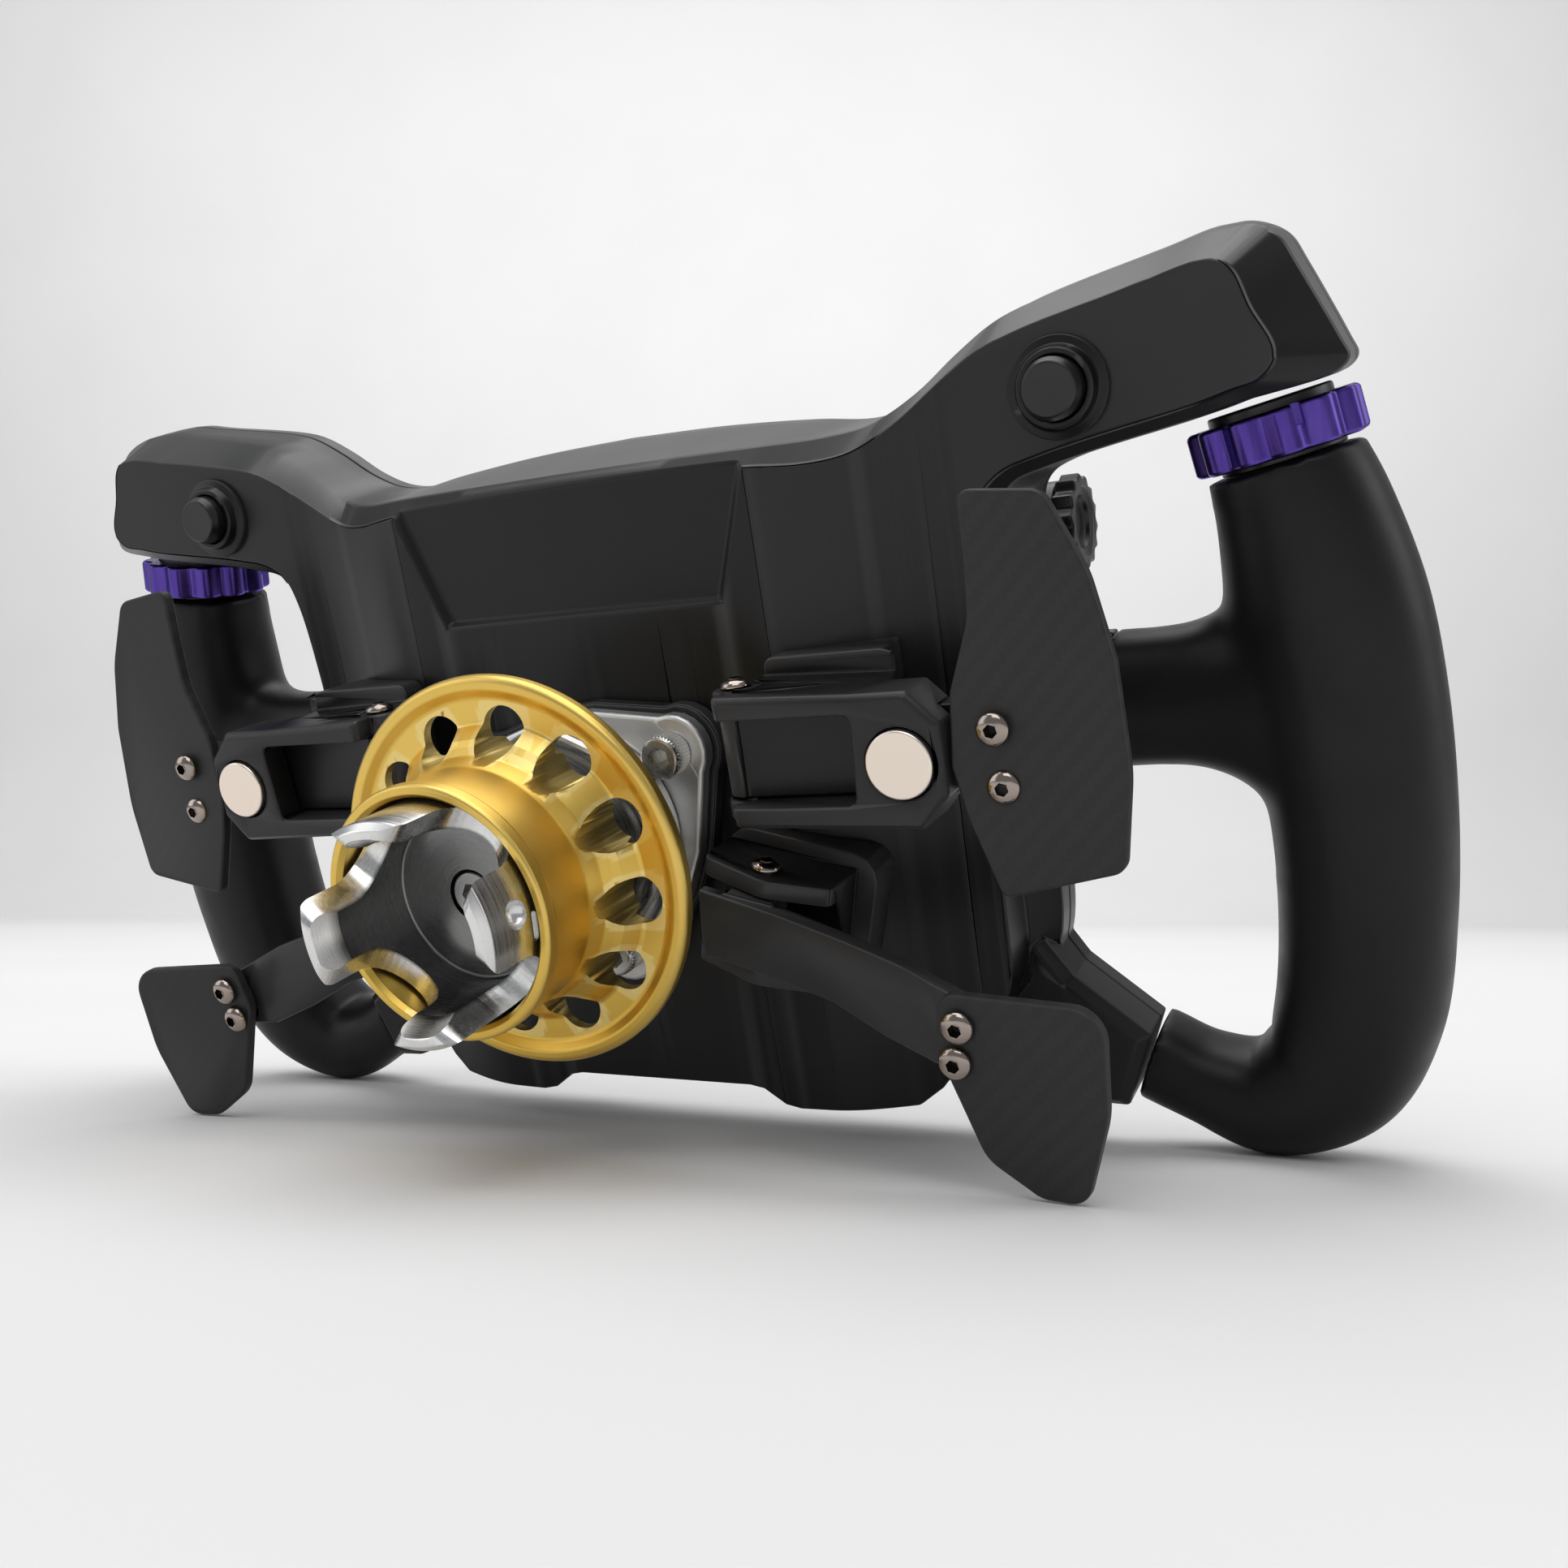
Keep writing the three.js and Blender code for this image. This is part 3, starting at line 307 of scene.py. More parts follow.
def add_materials():
    # In the blasted materials the third colour is the edge colour: partly wear, partly a painted highlight.
    made = [
        blasted("black_anodised", (0.0052, 0.0053, 0.0058), (0.0078, 0.0079, 0.0086), (0.05, 0.05, 0.052),
                0.34, 0.0, Specular_IOR_Level=0.3),
        moulded("grip_rubber", (0.0036, 0.0036, 0.0038), (0.0056, 0.0056, 0.0058), 0.44, 1.4, 0.3,
                Specular_IOR_Level=0.3),
        purple_metal("purple_anodised"),
        blasted("gold_anodised", (0.74, 0.48, 0.085), (0.82, 0.57, 0.14), (0.86, 0.66, 0.24),
                0.36, 1.0, 2.6, 0.3),
        turned_metal("machined_aluminium", (0.8, 0.8, 0.79), (0.66, 0.66, 0.65), 0.42),
        # The bore radius of the nose: its inside gets painted shade.
        turned_metal("polished_aluminium", (0.78, 0.78, 0.77), (0.55, 0.55, 0.54), 0.26, tool=1.6, bore=15.6),
        turned_metal("nickel", (0.4, 0.34, 0.3), (0.26, 0.22, 0.19), 0.13, tool=1.2),
        turned_metal("bright_steel", (0.66, 0.65, 0.62), (0.45, 0.44, 0.42), 0.24, tool=1.2),
        blasted("magnet_nickel", (0.84, 0.73, 0.62), (0.88, 0.78, 0.68), (0.9, 0.85, 0.8),
                0.3, 1.0, 1.2, 0.08),
        turned_metal("steel", (0.5, 0.5, 0.5), (0.3, 0.29, 0.28), 0.28),
        carbon("carbon_fibre"),
        moulded("black_plastic", (0.006, 0.006, 0.0065), (0.01, 0.01, 0.0105), 0.34, 2.0, 0.12),
        board("circuit_board"),
        dark_glass("display_glass"),
    ]
    # The CAD's own materials have the same names, so Blender adds a number after a dot.
    return {material.name.partition(".")[0]: material for material in made}


# ---- mesh tools ---------------------------------------------------------------------------------------
SAME_PLACE = 1e-5


def rounded(points, steps=6):
    """An outline with its corners rounded: each point is (a, b) or (a, b, radius)."""
    result = []
    count = len(points)
    for i, point in enumerate(points):
        corner = Vector(point[:2])
        if len(point) == 2:
            result.append(tuple(corner))
            continue
        radius = point[2]
        back = (Vector(points[i - 1][:2]) - corner).normalized()
        ahead = (Vector(points[(i + 1) % count][:2]) - corner).normalized()
        half = math.acos(max(-1, min(1, back.dot(ahead)))) / 2
        centre = corner + (back + ahead).normalized() * radius / math.sin(half)
        start = corner + back * radius / math.tan(half) - centre
        end = corner + ahead * radius / math.tan(half) - centre
        sweep = math.atan2(start.x * end.y - start.y * end.x, start.dot(end))
        for k in range(steps + 1):
            p = Matrix.Rotation(sweep * k / steps, 2) @ start + centre
            result.append(tuple(p))
    return result


def circle(radius, count, x=0.0, z=0.0, turn=0.0):
    """Points round a circle about (x, z)."""
    return [(x + radius * math.cos(turn + 2 * math.pi * i / count),
             z + radius * math.sin(turn + 2 * math.pi * i / count)) for i in range(count)]


def make_object(name, vertices, faces, matrix=None):
    """An object in design millimetres, before it is given a place in the row."""
    mesh = bpy.data.meshes.new(name)
    mesh.from_pydata([tuple(v) for v in vertices], [], faces)
    if matrix is not None:
        mesh.transform(matrix)
    bm = bmesh.new()
    bm.from_mesh(mesh)
    bmesh.ops.remove_doubles(bm, verts=bm.verts, dist=SAME_PLACE)
    bmesh.ops.recalc_face_normals(bm, faces=bm.faces)
    bm.to_mesh(mesh)
    bm.free()
    obj = bpy.data.objects.new(name, mesh)
    bpy.context.scene.collection.objects.link(obj)
    return obj


def lathe(name, profile, segments=96, closed=False, matrix=None):
    """A solid of revolution about Y from (radius, y) points, from axis to axis or as a closed ring."""
    vertices = []
    rings = []
    for radius, y in profile:
        if radius < SAME_PLACE:
            rings.append([len(vertices)])
            vertices.append((0, y, 0))
        else:
            rings.append(list(range(len(vertices), len(vertices) + segments)))
            vertices.extend((x, y, z) for x, z in circle(radius, segments))
    faces = []
    pairs = list(zip(rings, rings[1:] + rings[:1])) if closed else list(zip(rings, rings[1:]))
    for low, high in pairs:
        for i in range(segments):
            j = (i + 1) % segments
            face = [low[i % len(low)], low[j % len(low)], high[j % len(high)], high[i % len(high)]]
            face = [v for k, v in enumerate(face) if v not in face[:k]]
            if len(face) > 2:
                faces.append(face)
    return make_object(name, vertices, faces, matrix)


def prism(name, outline, y0, y1, matrix=None):
    """A plate with an (x, z) outline between two depths."""
    count = len(outline)
    vertices = [(x, y, z) for y in (y0, y1) for x, z in outline]
    faces = [list(range(count)), list(range(2 * count - 1, count - 1, -1))]
    faces += [[i, (i + 1) % count, count + (i + 1) % count, count + i] for i in range(count)]
    return make_object(name, vertices, faces, matrix)


def tube(name, rings, matrix=None):
    """A closed solid through rings of equally many points."""
    count = len(rings[0])
    vertices = [p for ring in rings for p in ring]
    faces = [list(range(count)), list(range(len(vertices) - 1, len(vertices) - count - 1, -1))]
    for low in range(0, len(vertices) - count, count):
        high = low + count
        faces += [[low + i, low + (i + 1) % count, high + (i + 1) % count, high + i] for i in range(count)]
    return make_object(name, vertices, faces, matrix)


def merge_close(mesh, distance):
    """Joins vertices that lie closer together than the distance."""
    bm = bmesh.new()
    bm.from_mesh(mesh)
    bmesh.ops.remove_doubles(bm, verts=bm.verts, dist=distance)
    bm.to_mesh(mesh)
    bm.free()


def apply_modifiers(obj):
    bpy.context.view_layer.update()
    graph = bpy.context.evaluated_depsgraph_get()
    mesh = bpy.data.meshes.new_from_object(obj.evaluated_get(graph), depsgraph=graph)
    obj.modifiers.clear()
    obj.data = mesh
    return obj


def boolean(obj, others, operation="DIFFERENCE"):
    """Cuts the other objects from this one, or joins them to it, and deletes them."""
    for other in others:
        modifier = obj.modifiers.new("cut", "BOOLEAN")
        modifier.operation = operation
        modifier.solver = "EXACT"
        modifier.object = other
    apply_modifiers(obj)
    for other in others:
        bpy.data.objects.remove(other)
    return obj


def bevel(obj, width, segments, angle, clamp=True, harden=False):
    """Rounds the edges that are sharper than the angle; harden also gives the flat faces flat shading."""
    if harden:
        obj.data.shade_smooth()
    modifier = obj.modifiers.new("bevel", "BEVEL")
    modifier.width = width
    modifier.segments = segments
    modifier.limit_method = "ANGLE"
    modifier.angle_limit = math.radians(angle)
    modifier.use_clamp_overlap = clamp
    modifier.harden_normals = harden
    return apply_modifiers(obj)


def smooth(obj, angle, weighted=True):
    """Smooth shading across all edges that are blunter than the angle."""
    mesh = obj.data
    mesh.shade_smooth()
    mesh.set_sharp_from_angle(angle=math.radians(angle))
    if weighted:
        modifier = obj.modifiers.new("normals", "WEIGHTED_NORMAL")
        modifier.keep_sharp = True
        modifier.weight = 90
        apply_modifiers(obj)
    return obj


def settle(obj, node, materials, slot=None, material=None):
    """Puts a finished piece in the row, with its body and the material of its slot or the one given, and
    hides the CAD node it stands for.
    """
    obj.data.transform(TO_ROW)
    slot = slot or SLOT_OF[node]
    obj.data.materials.clear()
    obj.data.materials.append(materials[material or slot])
    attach(obj, BODY_OF[node])
    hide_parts(node)


def design_box(node):
    """The corners of a CAD node's box in the upright frame."""
    points = np.array([TO_DESIGN @ v.co for v in NODES[node].data.vertices])
    return points.min(0), points.max(0)


def refined(node, width, segments=2, angle=24):
    """The CAD node's own shape with its edges rounded, in design millimetres."""
    mesh = NODES[node].data.copy()
    mesh.transform(TO_DESIGN)
    obj = bpy.data.objects.new(node + "_finish", mesh)
    bpy.context.scene.collection.objects.link(obj)
    bm = bmesh.new()
    bm.from_mesh(mesh)
    bmesh.ops.remove_doubles(bm, verts=bm.verts, dist=0.05)
    bmesh.ops.dissolve_limit(bm, angle_limit=math.radians(0.7), verts=bm.verts, edges=bm.edges)
    bm.to_mesh(mesh)
    bm.free()
    if width:
        return bevel(obj, width, segments, angle, clamp=False, harden=True)
    return smooth(obj, 60)


# ---- housing ------------------------------------------------------------------------------------------
# The driver's right half of the outline, from the top middle down to the bottom middle. Each row is rear x
# and z, ridge x and z, the ridge's depth below the crown, front x and z, the waist's share of the way from
# the ridge to the front, and 1 for a corner that stays sharp.
HOUSING_OUTLINE = [
    (0, 65.7, 0, 68.3, 4, 0, 73, 0.9, 0), (22, 65.5, 22, 68.2, 4, 22, 72.4, 0.9, 0),
    (41, 64.8, 42, 68, 4, 42, 70.9, 0.9, 0), (52, 63.8, 53.5, 67.8, 5, 53.5, 69.5, 0.8, 0),
    (60, 64.6, 62, 68.8, 6, 62, 70.4, 0.7, 0), (68, 68.4, 69.8, 72.6, 7, 69.8, 74, 0.6, 0),
    (76.5, 73.9, 77.8, 78.2, 8, 77.8, 79.8, 0.5, 0), (83.5, 77.9, 84.5, 82.2, 8.6, 84.5, 83.9, 0.5, 0),
    (90, 80, 90.5, 84.3, 9, 90.5, 86, 0.5, 0), (112.5, 84.4, 113, 88.8, 11.6, 113, 90.3, 0.5, 0),
    (121, 86, 122, 90.6, 12.6, 122, 92, 0.5, 0), (124.8, 85.6, 128.2, 90.4, 12, 128, 91.6, 0.6, 0),
    (127.2, 83.2, 132.8, 88, 10, 132.4, 89, 0.8, 0), (129.2, 77.6, 135.6, 83, 9, 135.2, 83.8, 1, 0),
    (132, 71.8, 141.4, 70.6, 9, 141, 70.8, 1, 0), (132.2, 69.2, 142.4, 68, 9, 142, 68, 1, 0),
    (130.4, 67, 140.6, 65.9, 8, 140.2, 65.8, 1, 0), (124.9, 65.4, 126, 63.3, 3, 126, 63.3, 1, 0),
    (118.9, 64, 119.5, 61.8, 3, 119.5, 61.8, 1, 0), (102, 61.2, 102.4, 58.9, 3, 102.4, 58.9, 1, 0),
    (92.8, 59.4, 93, 57, 3, 93, 57, 1, 0), (86.4, 57.6, 87.4, 55.4, 3.4, 88, 55, 1, 0),
    (82.4, 54.4, 84, 52.4, 5, 86, 52, 1, 0), (80.4, 49, 81.6, 48, 8, 85.4, 47, 1, 0),
    (79, 38, 79, 38, 10.5, 84.8, 38, 1, 0), (77.2, -18, 77.2, -18, 10.5, 83, -18, 1, 0),
    (76.6, -36, 76.6, -35, 10.5, 82, -33, 1, 0), (75, -41, 75, -41, 8, 80, -40, 1, 0),
    (60.6, -58.6, 60.6, -58.6, 5, 63, -60, 1, 1), (56, -61.8, 56, -61.8, 4, 56, -62.6, 1, 1),
    (31.7, -62.3, 31.7, -62.3, 4, 31.7, -62.6, 1, 1), (28.4, -61.6, 28.4, -61.6, 4, 28.4, -61.8, 1, 1),
    (23.9, -58.4, 23.9, -58.4, 4, 23.9, -58.6, 1, 1), (20.8, -57.8, 20.8, -57.8, 4, 20.8, -57.8, 1, 1),
    (0, -57.8, 0, -57.8, 4, 0, -57.8, 1, 1),
]
# The furthest that the curve may swing in each column of the outline.
OUTLINE_LIMITS = {1: 86, 3: 90.6, 6: 92, 0: 132.2, 2: 142.4, 5: 142}
CURVE_STEPS = 6
CROWN = 8.5
CROWN_FLAT = 38
CROWN_FALL = 36
# Depths along the hub.
HOUSING_FRONT = -22
HOUSING_WAIST = -17
PLATE_FRONT = -26.3
PLATE_REAR = -22.3
SPOKE_REAR = -11
# Outlines and places across the hub.
MID_SPOKE = [(74, 24.5), (96.6, 24.5), (96.6, -0.6), (74, -0.6)]
LOWER_SPOKE = [
    (70, -30), (79.5, -33), (84.4, -40.6, 3), (98.4, -52.4), (92.7, -67.6), (86, -67.4, 4), (60, -58),
]
RECESS_FLOOR = [(-31.4, 42.2), (31.4, 42.2), (40, 66.8), (-40, 66.8)]
RECESS_RIM = [(-33, 40.6), (33, 40.6), (42, 67), (-42, 67)]
CAVITY = [(-66, 56), (66, 56), (70, 40), (70, -34), (56, -52), (-56, -52), (-70, -34), (-70, 40)]
REAR_BUTTON = (97.9, 70)
FRONT_BUTTONS = 62
FRONT_BUTTON_HEIGHTS = (24, 4, -16)
BOLT_CIRCLE = 25.4
BOLT_TURNS = (30, 150, 270)


def crown_height(x):
    """Depth of the rear face: flat in the middle, then an eased fall toward both ends."""
    share = max(0.0, min(1.0, (abs(x) - CROWN_FLAT) / CROWN_FALL))
    return CROWN * (0.5 + 0.5 * math.cos(math.pi * share))


def eased_outline():
    """The outline on a finer curve through its soft rows, and straight between its sharp corners."""
    rows = [row[:8] for row in HOUSING_OUTLINE]
    soft = [i for i, row in enumerate(HOUSING_OUTLINE) if not row[8]][-1]
    fine = list(centripetal(rows[:soft + 1], CURVE_STEPS * soft))
    for point in fine:
        for axis, limit in OUTLINE_LIMITS.items():
            point[axis] = min(point[axis], limit)
    return [tuple(point) for point in fine] + rows[soft + 1:]


def add_spokes(body, front, rear, chamfer=0):
    """Joins the four spokes that carry the grips."""
    spokes = [prism("spoke", [(sign * x, z) for x, z in outline], front, rear)
              for sign in (1, -1) for outline in (MID_SPOKE, rounded(LOWER_SPOKE, 6))]
    if chamfer:
        for spoke in spokes:
            bevel_rear_edges(spoke, rear, chamfer)
    boolean(body, spokes, "UNION")


def housing_blank():
    """The housing's block: a loft from the front through the waist and the ridge, under the crown."""
    half = eased_outline()
    rows = half + [(-r[0], r[1], -r[2], r[3], r[4], -r[5], r[6], r[7]) for r in reversed(half[1:-1])]
    levels = [[], [], [], [], []]
    for rear_x, rear_z, ridge_x, ridge_z, drop, front_x, front_z, share in rows:
        waist = (ridge_x + share * (front_x - ridge_x), HOUSING_WAIST, ridge_z + share * (front_z - ridge_z))
        for ring, point in zip(levels, (
                (front_x, HOUSING_FRONT, front_z), waist, (ridge_x, crown_height(ridge_x) - drop, ridge_z),
                (rear_x, crown_height(rear_x) - 0.6, rear_z), (rear_x, CROWN + 3, rear_z))):
            ring.append(point)
    body = tube("rear_housing_finish", levels)
    wide, tall, deep = 160, 120, 60
    crown = [(x, crown_height(x)) for x in np.linspace(-78, 78, 105)]
    block = [(-wide, -deep), (-wide, 0), *crown, (wide, 0), (wide, -deep)]
    keep = tube("crown", [[(x, y, z) for x, y in block] for z in (-tall, tall)])
    return boolean(body, [keep], "INTERSECT")


def rear_housing(materials):
    body = housing_blank()
    add_spokes(body, HOUSING_FRONT, SPOKE_REAR, chamfer=2.0)
    recess = tube("recess", [[(x, y, z) for x, z in outline]
                             for outline, y in ((RECESS_FLOOR, CROWN - 1.6), (RECESS_RIM, CROWN + 0.4))])
    cavity = prism("cavity", CAVITY, HOUSING_FRONT - 1, -2)
    button_x, button_z = REAR_BUTTON
    bores = [prism("bore", circle(7.6, 64, side * button_x, button_z), -12, 3) for side in (1, -1)]
    for degrees in BOLT_TURNS:
        angle = math.radians(degrees) + HUB_TURN
        spot = (BOLT_CIRCLE * math.cos(angle), BOLT_CIRCLE * math.sin(angle))
        bores.append(prism("bolt", circle(2.75, 24, *spot), 0.5, CROWN + 1))
    boolean(body, [recess, cavity, *bores])
    merge_close(body.data, 0.01)
    bevel(body, 0.55, 3, 30, clamp=False)
    smooth(body, 30)
    ease_crown(body.data)
    settle(body, "rear_housing", materials)


def ease_crown(mesh):
    """Gives the crowned rear face the normals of its curve, to even out the shading round its cuts."""
    reach, skin, alike = 0.05, 0.06, 0.985
    normals = [Vector(n.vector) for n in mesh.corner_normals]
    for face in mesh.polygons:
        for loop in face.loop_indices:
            x, y, _ = mesh.vertices[mesh.loops[loop].vertex_index].co
            slope = (crown_height(x + reach) - crown_height(x - reach)) / (2 * reach)
            analytic = Vector((-slope, 1, 0)).normalized()
            if abs(y - crown_height(x)) < skin and face.normal.dot(analytic) > alike:
                normals[loop] = analytic
    mesh.normals_split_custom_set(normals)


def plate_window(right, top, bottom, radius):
    """A cutter for an upright window in the middle of the front plate."""
    corners = [(-right, top, radius), (right, top, radius), (right, bottom, radius), (-right, bottom, radius)]
    return prism("window", rounded(corners), PLATE_FRONT - 1, PLATE_REAR + 1)


def front_plate(materials):
    half = eased_outline()
    rim = [(r[5], r[6]) for r in half] + [(-r[5], r[6]) for r in reversed(half[1:-1])]
    body = prism("front_plate_finish", rim, PLATE_FRONT, PLATE_REAR)
    add_spokes(body, PLATE_FRONT, PLATE_REAR)
    cuts = [plate_window(52.1, 46.1, -14.1, 4), plate_window(46.1, 57.1, 50.9, 2)]
    for side in (1, -1):
        for height in FRONT_BUTTON_HEIGHTS:
            outline = circle(6.1, 48, side * FRONT_BUTTONS, height)
            cuts.append(prism("bore", outline, PLATE_FRONT - 1, PLATE_REAR + 1))
    boolean(body, cuts)
    bevel(body, 0.4, 2, 40, clamp=False)
    smooth(body, 50)
    settle(body, "front_plate", materials)


def bevel_rear_edges(obj, y, width):
    """A chamfer round the face at depth y."""
    bm = bmesh.new()
    bm.from_mesh(obj.data)
    edges = [e for e in bm.edges if all(abs(v.co.y - y) < 0.01 for v in e.verts)]
    bmesh.ops.bevel(bm, geom=edges, offset=width, segments=1, affect="EDGES")
    bm.to_mesh(obj.data)
    bm.free()


# ---- hub ----------------------------------------------------------------------------------------------
RING_HOLES = 12
RING_HOLE_RADIUS = 4.4
RING_HOLE_PLACE = 27.2
NOSE_RADIUS = 20
NOSE_BORE = 15.5
NOSE_FLOOR = 55
SLOT_HALF = 7.5
SLOT_FLOOR = 68
SLOT_MOUTH = 3.4
HEX_M5 = 2.31


def gold_ring(materials):
    profile = rounded([
        (20.5, 38.6, 0.3), (24.6, 38.6, 0.4), (25.2, 41.4, 0.6), (36.9, 41.4, 1.0), (36.9, 44.8, 1.4),
        (34.5, 44.8, 1.0), (32.8, 43.3, 1.6), (28.2, 43.3, 1.2), (26, 46.4, 0.5), (24.9, 47.5, 0.5),
        (23.6, 49, 1.5), (22.5, 52.2, 3), (22.25, 61.8, 0.8), (23.1, 62.6, 0.6), (23.1, 65.4, 0.8),
        (21.5, 65.4, 0.3), (20.7, 64.4, 0.3), (20.7, 60),
    ], 5)
    ring = lathe("release_ring_finish", profile, 160, closed=True)
    cutters = []
    for i in range(RING_HOLES):
        angle = (i + 0.5) * 2 * math.pi / RING_HOLES + HUB_TURN
        spot = (RING_HOLE_PLACE * math.cos(angle), RING_HOLE_PLACE * math.sin(angle))
        cutters.append(prism(f"drill_{i}", circle(RING_HOLE_RADIUS, 40, *spot), 30, 58))
    boolean(ring, cutters)
    bevel(ring, 0.3, 3, 38)
    smooth(ring, 42)
    settle(ring, "release_ring", materials)


def claw_slots():
    """Two crossed slots with rounded floors and mouths, which leave the nose's four claws."""
    across_mouth = SLOT_HALF + SLOT_MOUTH
    side = [(across_mouth, 90)] + [(across_mouth - SLOT_MOUTH * math.cos(a), 73.6 + SLOT_MOUTH * math.sin(a))
                                   for a in np.linspace(1.57, 0, 8)]
    slot = side + [(SLOT_HALF * math.cos(a), SLOT_FLOOR - SLOT_HALF * math.sin(a))
                   for a in np.linspace(0.12, math.pi - 0.12, 18)]
    slot += [(-across, y) for across, y in reversed(side)]
    cutters = []
    for i, degrees in enumerate((45, 135)):
        turn = Matrix.Rotation(math.radians(degrees) - HUB_TURN, 4, "Y")
        rings = [[(far, y, across) for across, y in slot] for far in (-30, 30)]
        cutters.append(tube(f"slot_{i}", rings, turn))
    return cutters


def ball_pockets():
    """A round pocket and a short groove on two opposite claws."""
    ball, depth, height = 2.6, 20.2, 68.6
    cutters = []
    for i in range(2):
        angle = math.radians(180 * i) - HUB_TURN
        spot = Matrix.Translation((depth * math.cos(angle), 0, -depth * math.sin(angle)))
        profile = [(ball * math.sin(t), height - ball * math.cos(t)) for t in np.linspace(0, math.pi, 17)]
        cutters.append(lathe(f"ball_{i}", profile, 32, matrix=spot))
        groove = rounded([(-0.7, -2.6, 0.6), (0.7, -2.6, 0.6), (0.7, 2.6, 0.6), (-0.7, 2.6, 0.6)], 4)
        turn = Matrix.Rotation(-angle, 4, "Y") @ Matrix.Translation((19.4, 64.4, 0))
        rings = [[(deep, a, b) for a, b in groove] for deep in (0, 3)]
        cutters.append(tube(f"groove_{i}", rings, turn))
    return cutters


def nose(materials):
    profile = rounded([
        (0, 16.1), (NOSE_RADIUS, 16.1, 0.5), (NOSE_RADIUS, 75.6, 0.7), (18.8, 77, 0.7), (17.3, 77, 0.5),
        (NOSE_BORE, 71.6, 0.8), (NOSE_BORE, NOSE_FLOOR, 0.5), (0, NOSE_FLOOR),
    ], 4)
    body = lathe("quick_release_nose_finish", profile, 128)
    centre_bore = prism("centre_bore", circle(2.8, 32), 22, 52)
    screw_seat = prism("screw_seat", circle(4.8, 48), 49.9, 57)
    boolean(body, [*claw_slots(), centre_bore, screw_seat])
    bevel(body, 0.75, 2, 40)
    boolean(body, ball_pockets())
    bevel(body, 0.2, 2, 55)
    smooth(body, 42)
    settle(body, "quick_release_nose", materials, material="polished_aluminium")

    screw = lathe("nose_screw_finish", rounded([
        (0, 23), (2.5, 23), (2.5, 50), (4.25, 50), (4.25, NOSE_FLOOR, 0.5), (0, NOSE_FLOOR)], 3), 48)
    boolean(screw, [prism("key", circle(HEX_M5, 6), 52, 56)])
    smooth(bevel(screw, 0.12, 2, 50), 40)
    settle(screw, "nose_screw", materials)


def knurled_screw(node, materials):
    """An M5 cap screw with a knurled head, where the CAD has it."""
    low, high = design_box(node)
    x, z = (low[0] + high[0]) / 2, (low[2] + high[2]) / 2
    top = high[1]
    knurl = (0.0, 0.06, 0.24, 0.06)
    count = 36 * len(knurl)
    outline = []
    for i in range(count):
        radius = 4.25 - knurl[i % len(knurl)]
        angle = 2 * math.pi * i / count
        outline.append((radius * math.cos(angle), radius * math.sin(angle)))

    def knurled(y):
        return [(a, y, b) for a, b in outline]

    def plain(radius, y):
        return [(a, y, b) for a, b in circle(radius, count)]

    rings = [plain(2.5, low[1]), plain(2.5, top - 5), plain(4.1, top - 5),
             knurled(top - 4.8), knurled(top - 0.95), plain(3.98, top - 0.7), plain(3.98, top - 0.45),
             plain(3.85, top - 0.16), plain(3.6, top - 0.02), plain(3.3, top)]
    screw = tube(node + "_finish", rings)
    boolean(screw, [prism("key", circle(HEX_M5, 6, turn=0.4), top - 4, top + 1)])
    bevel(screw, 0.12, 2, 60)
    screw.data.transform(Matrix.Translation((x, 0, z)))
    smooth(screw, 35)
    settle(screw, node, materials, material="bright_steel", slot="machined_aluminium")


def adapter(materials):
    plate = refined("adapter_plate", 0.35, 3, 40)
    groove = lathe("groove", [(27.2, 15.62), (27.5, 15.62), (27.5, 17), (27.2, 17)], 160, closed=True)
    boolean(plate, [groove])
    smooth(plate, 30)
    settle(plate, "adapter_plate", materials)
    settle(refined("adapter_spacer", 0.4, 2, 40), "adapter_spacer", materials)
    for i in range(3):
        knurled_screw(f"adapter_screw_{i + 1}", materials)


# ---- small screws -------------------------------------------------------------------------------------
HEAD_TALL = 1.65
HEAD_RADIUS = 2.85
SHANK_RADIUS = 1.5
PIVOT_SCREW_LENGTH = 22
CLUTCH_PIN_TILT = math.radians(14)


def button_screw(node, materials, upright=False, slope=0):
    """A button-head M3 screw where the CAD has it. An upright one leans outward by its slope."""
    low, high = design_box(node)
    centre = (low + high) / 2
    length = PIVOT_SCREW_LENGTH if upright else high[1] - low[1] - HEAD_TALL
    profile = [(0, -length), (SHANK_RADIUS, -length), (SHANK_RADIUS, 0), (2.7, 0), (HEAD_RADIUS, 0.12),
               (HEAD_RADIUS, 0.3)]
    profile += [(HEAD_RADIUS * math.cos(a) * 0.985 + 0.02, 0.3 + 1.35 * math.sin(a))
                for a in np.linspace(0.12, 1.12, 8)]
    profile += [(1.3, 1.62), (0, 1.62)]
    screw = lathe(node + "_finish", profile, 40)
    boolean(screw, [prism("key", circle(1.2, 6, turn=0.3), -1.5, 3)])
    bevel(screw, 0.07, 2, 55)
    if upright:
        turn = Matrix.Rotation(math.copysign(slope, centre[0]), 4, "Y")
        middle = turn @ Vector((0, 0, HEAD_TALL - (length + HEAD_TALL) / 2))
        matrix = Matrix.Translation(Vector(centre) - middle) @ turn @ Matrix.Rotation(math.pi / 2, 4, "X")
    else:
        matrix = Matrix.Translation((centre[0], high[1] - HEAD_TALL, centre[2]))
    screw.data.transform(matrix)
    smooth(screw, 38)
    settle(screw, node, materials)


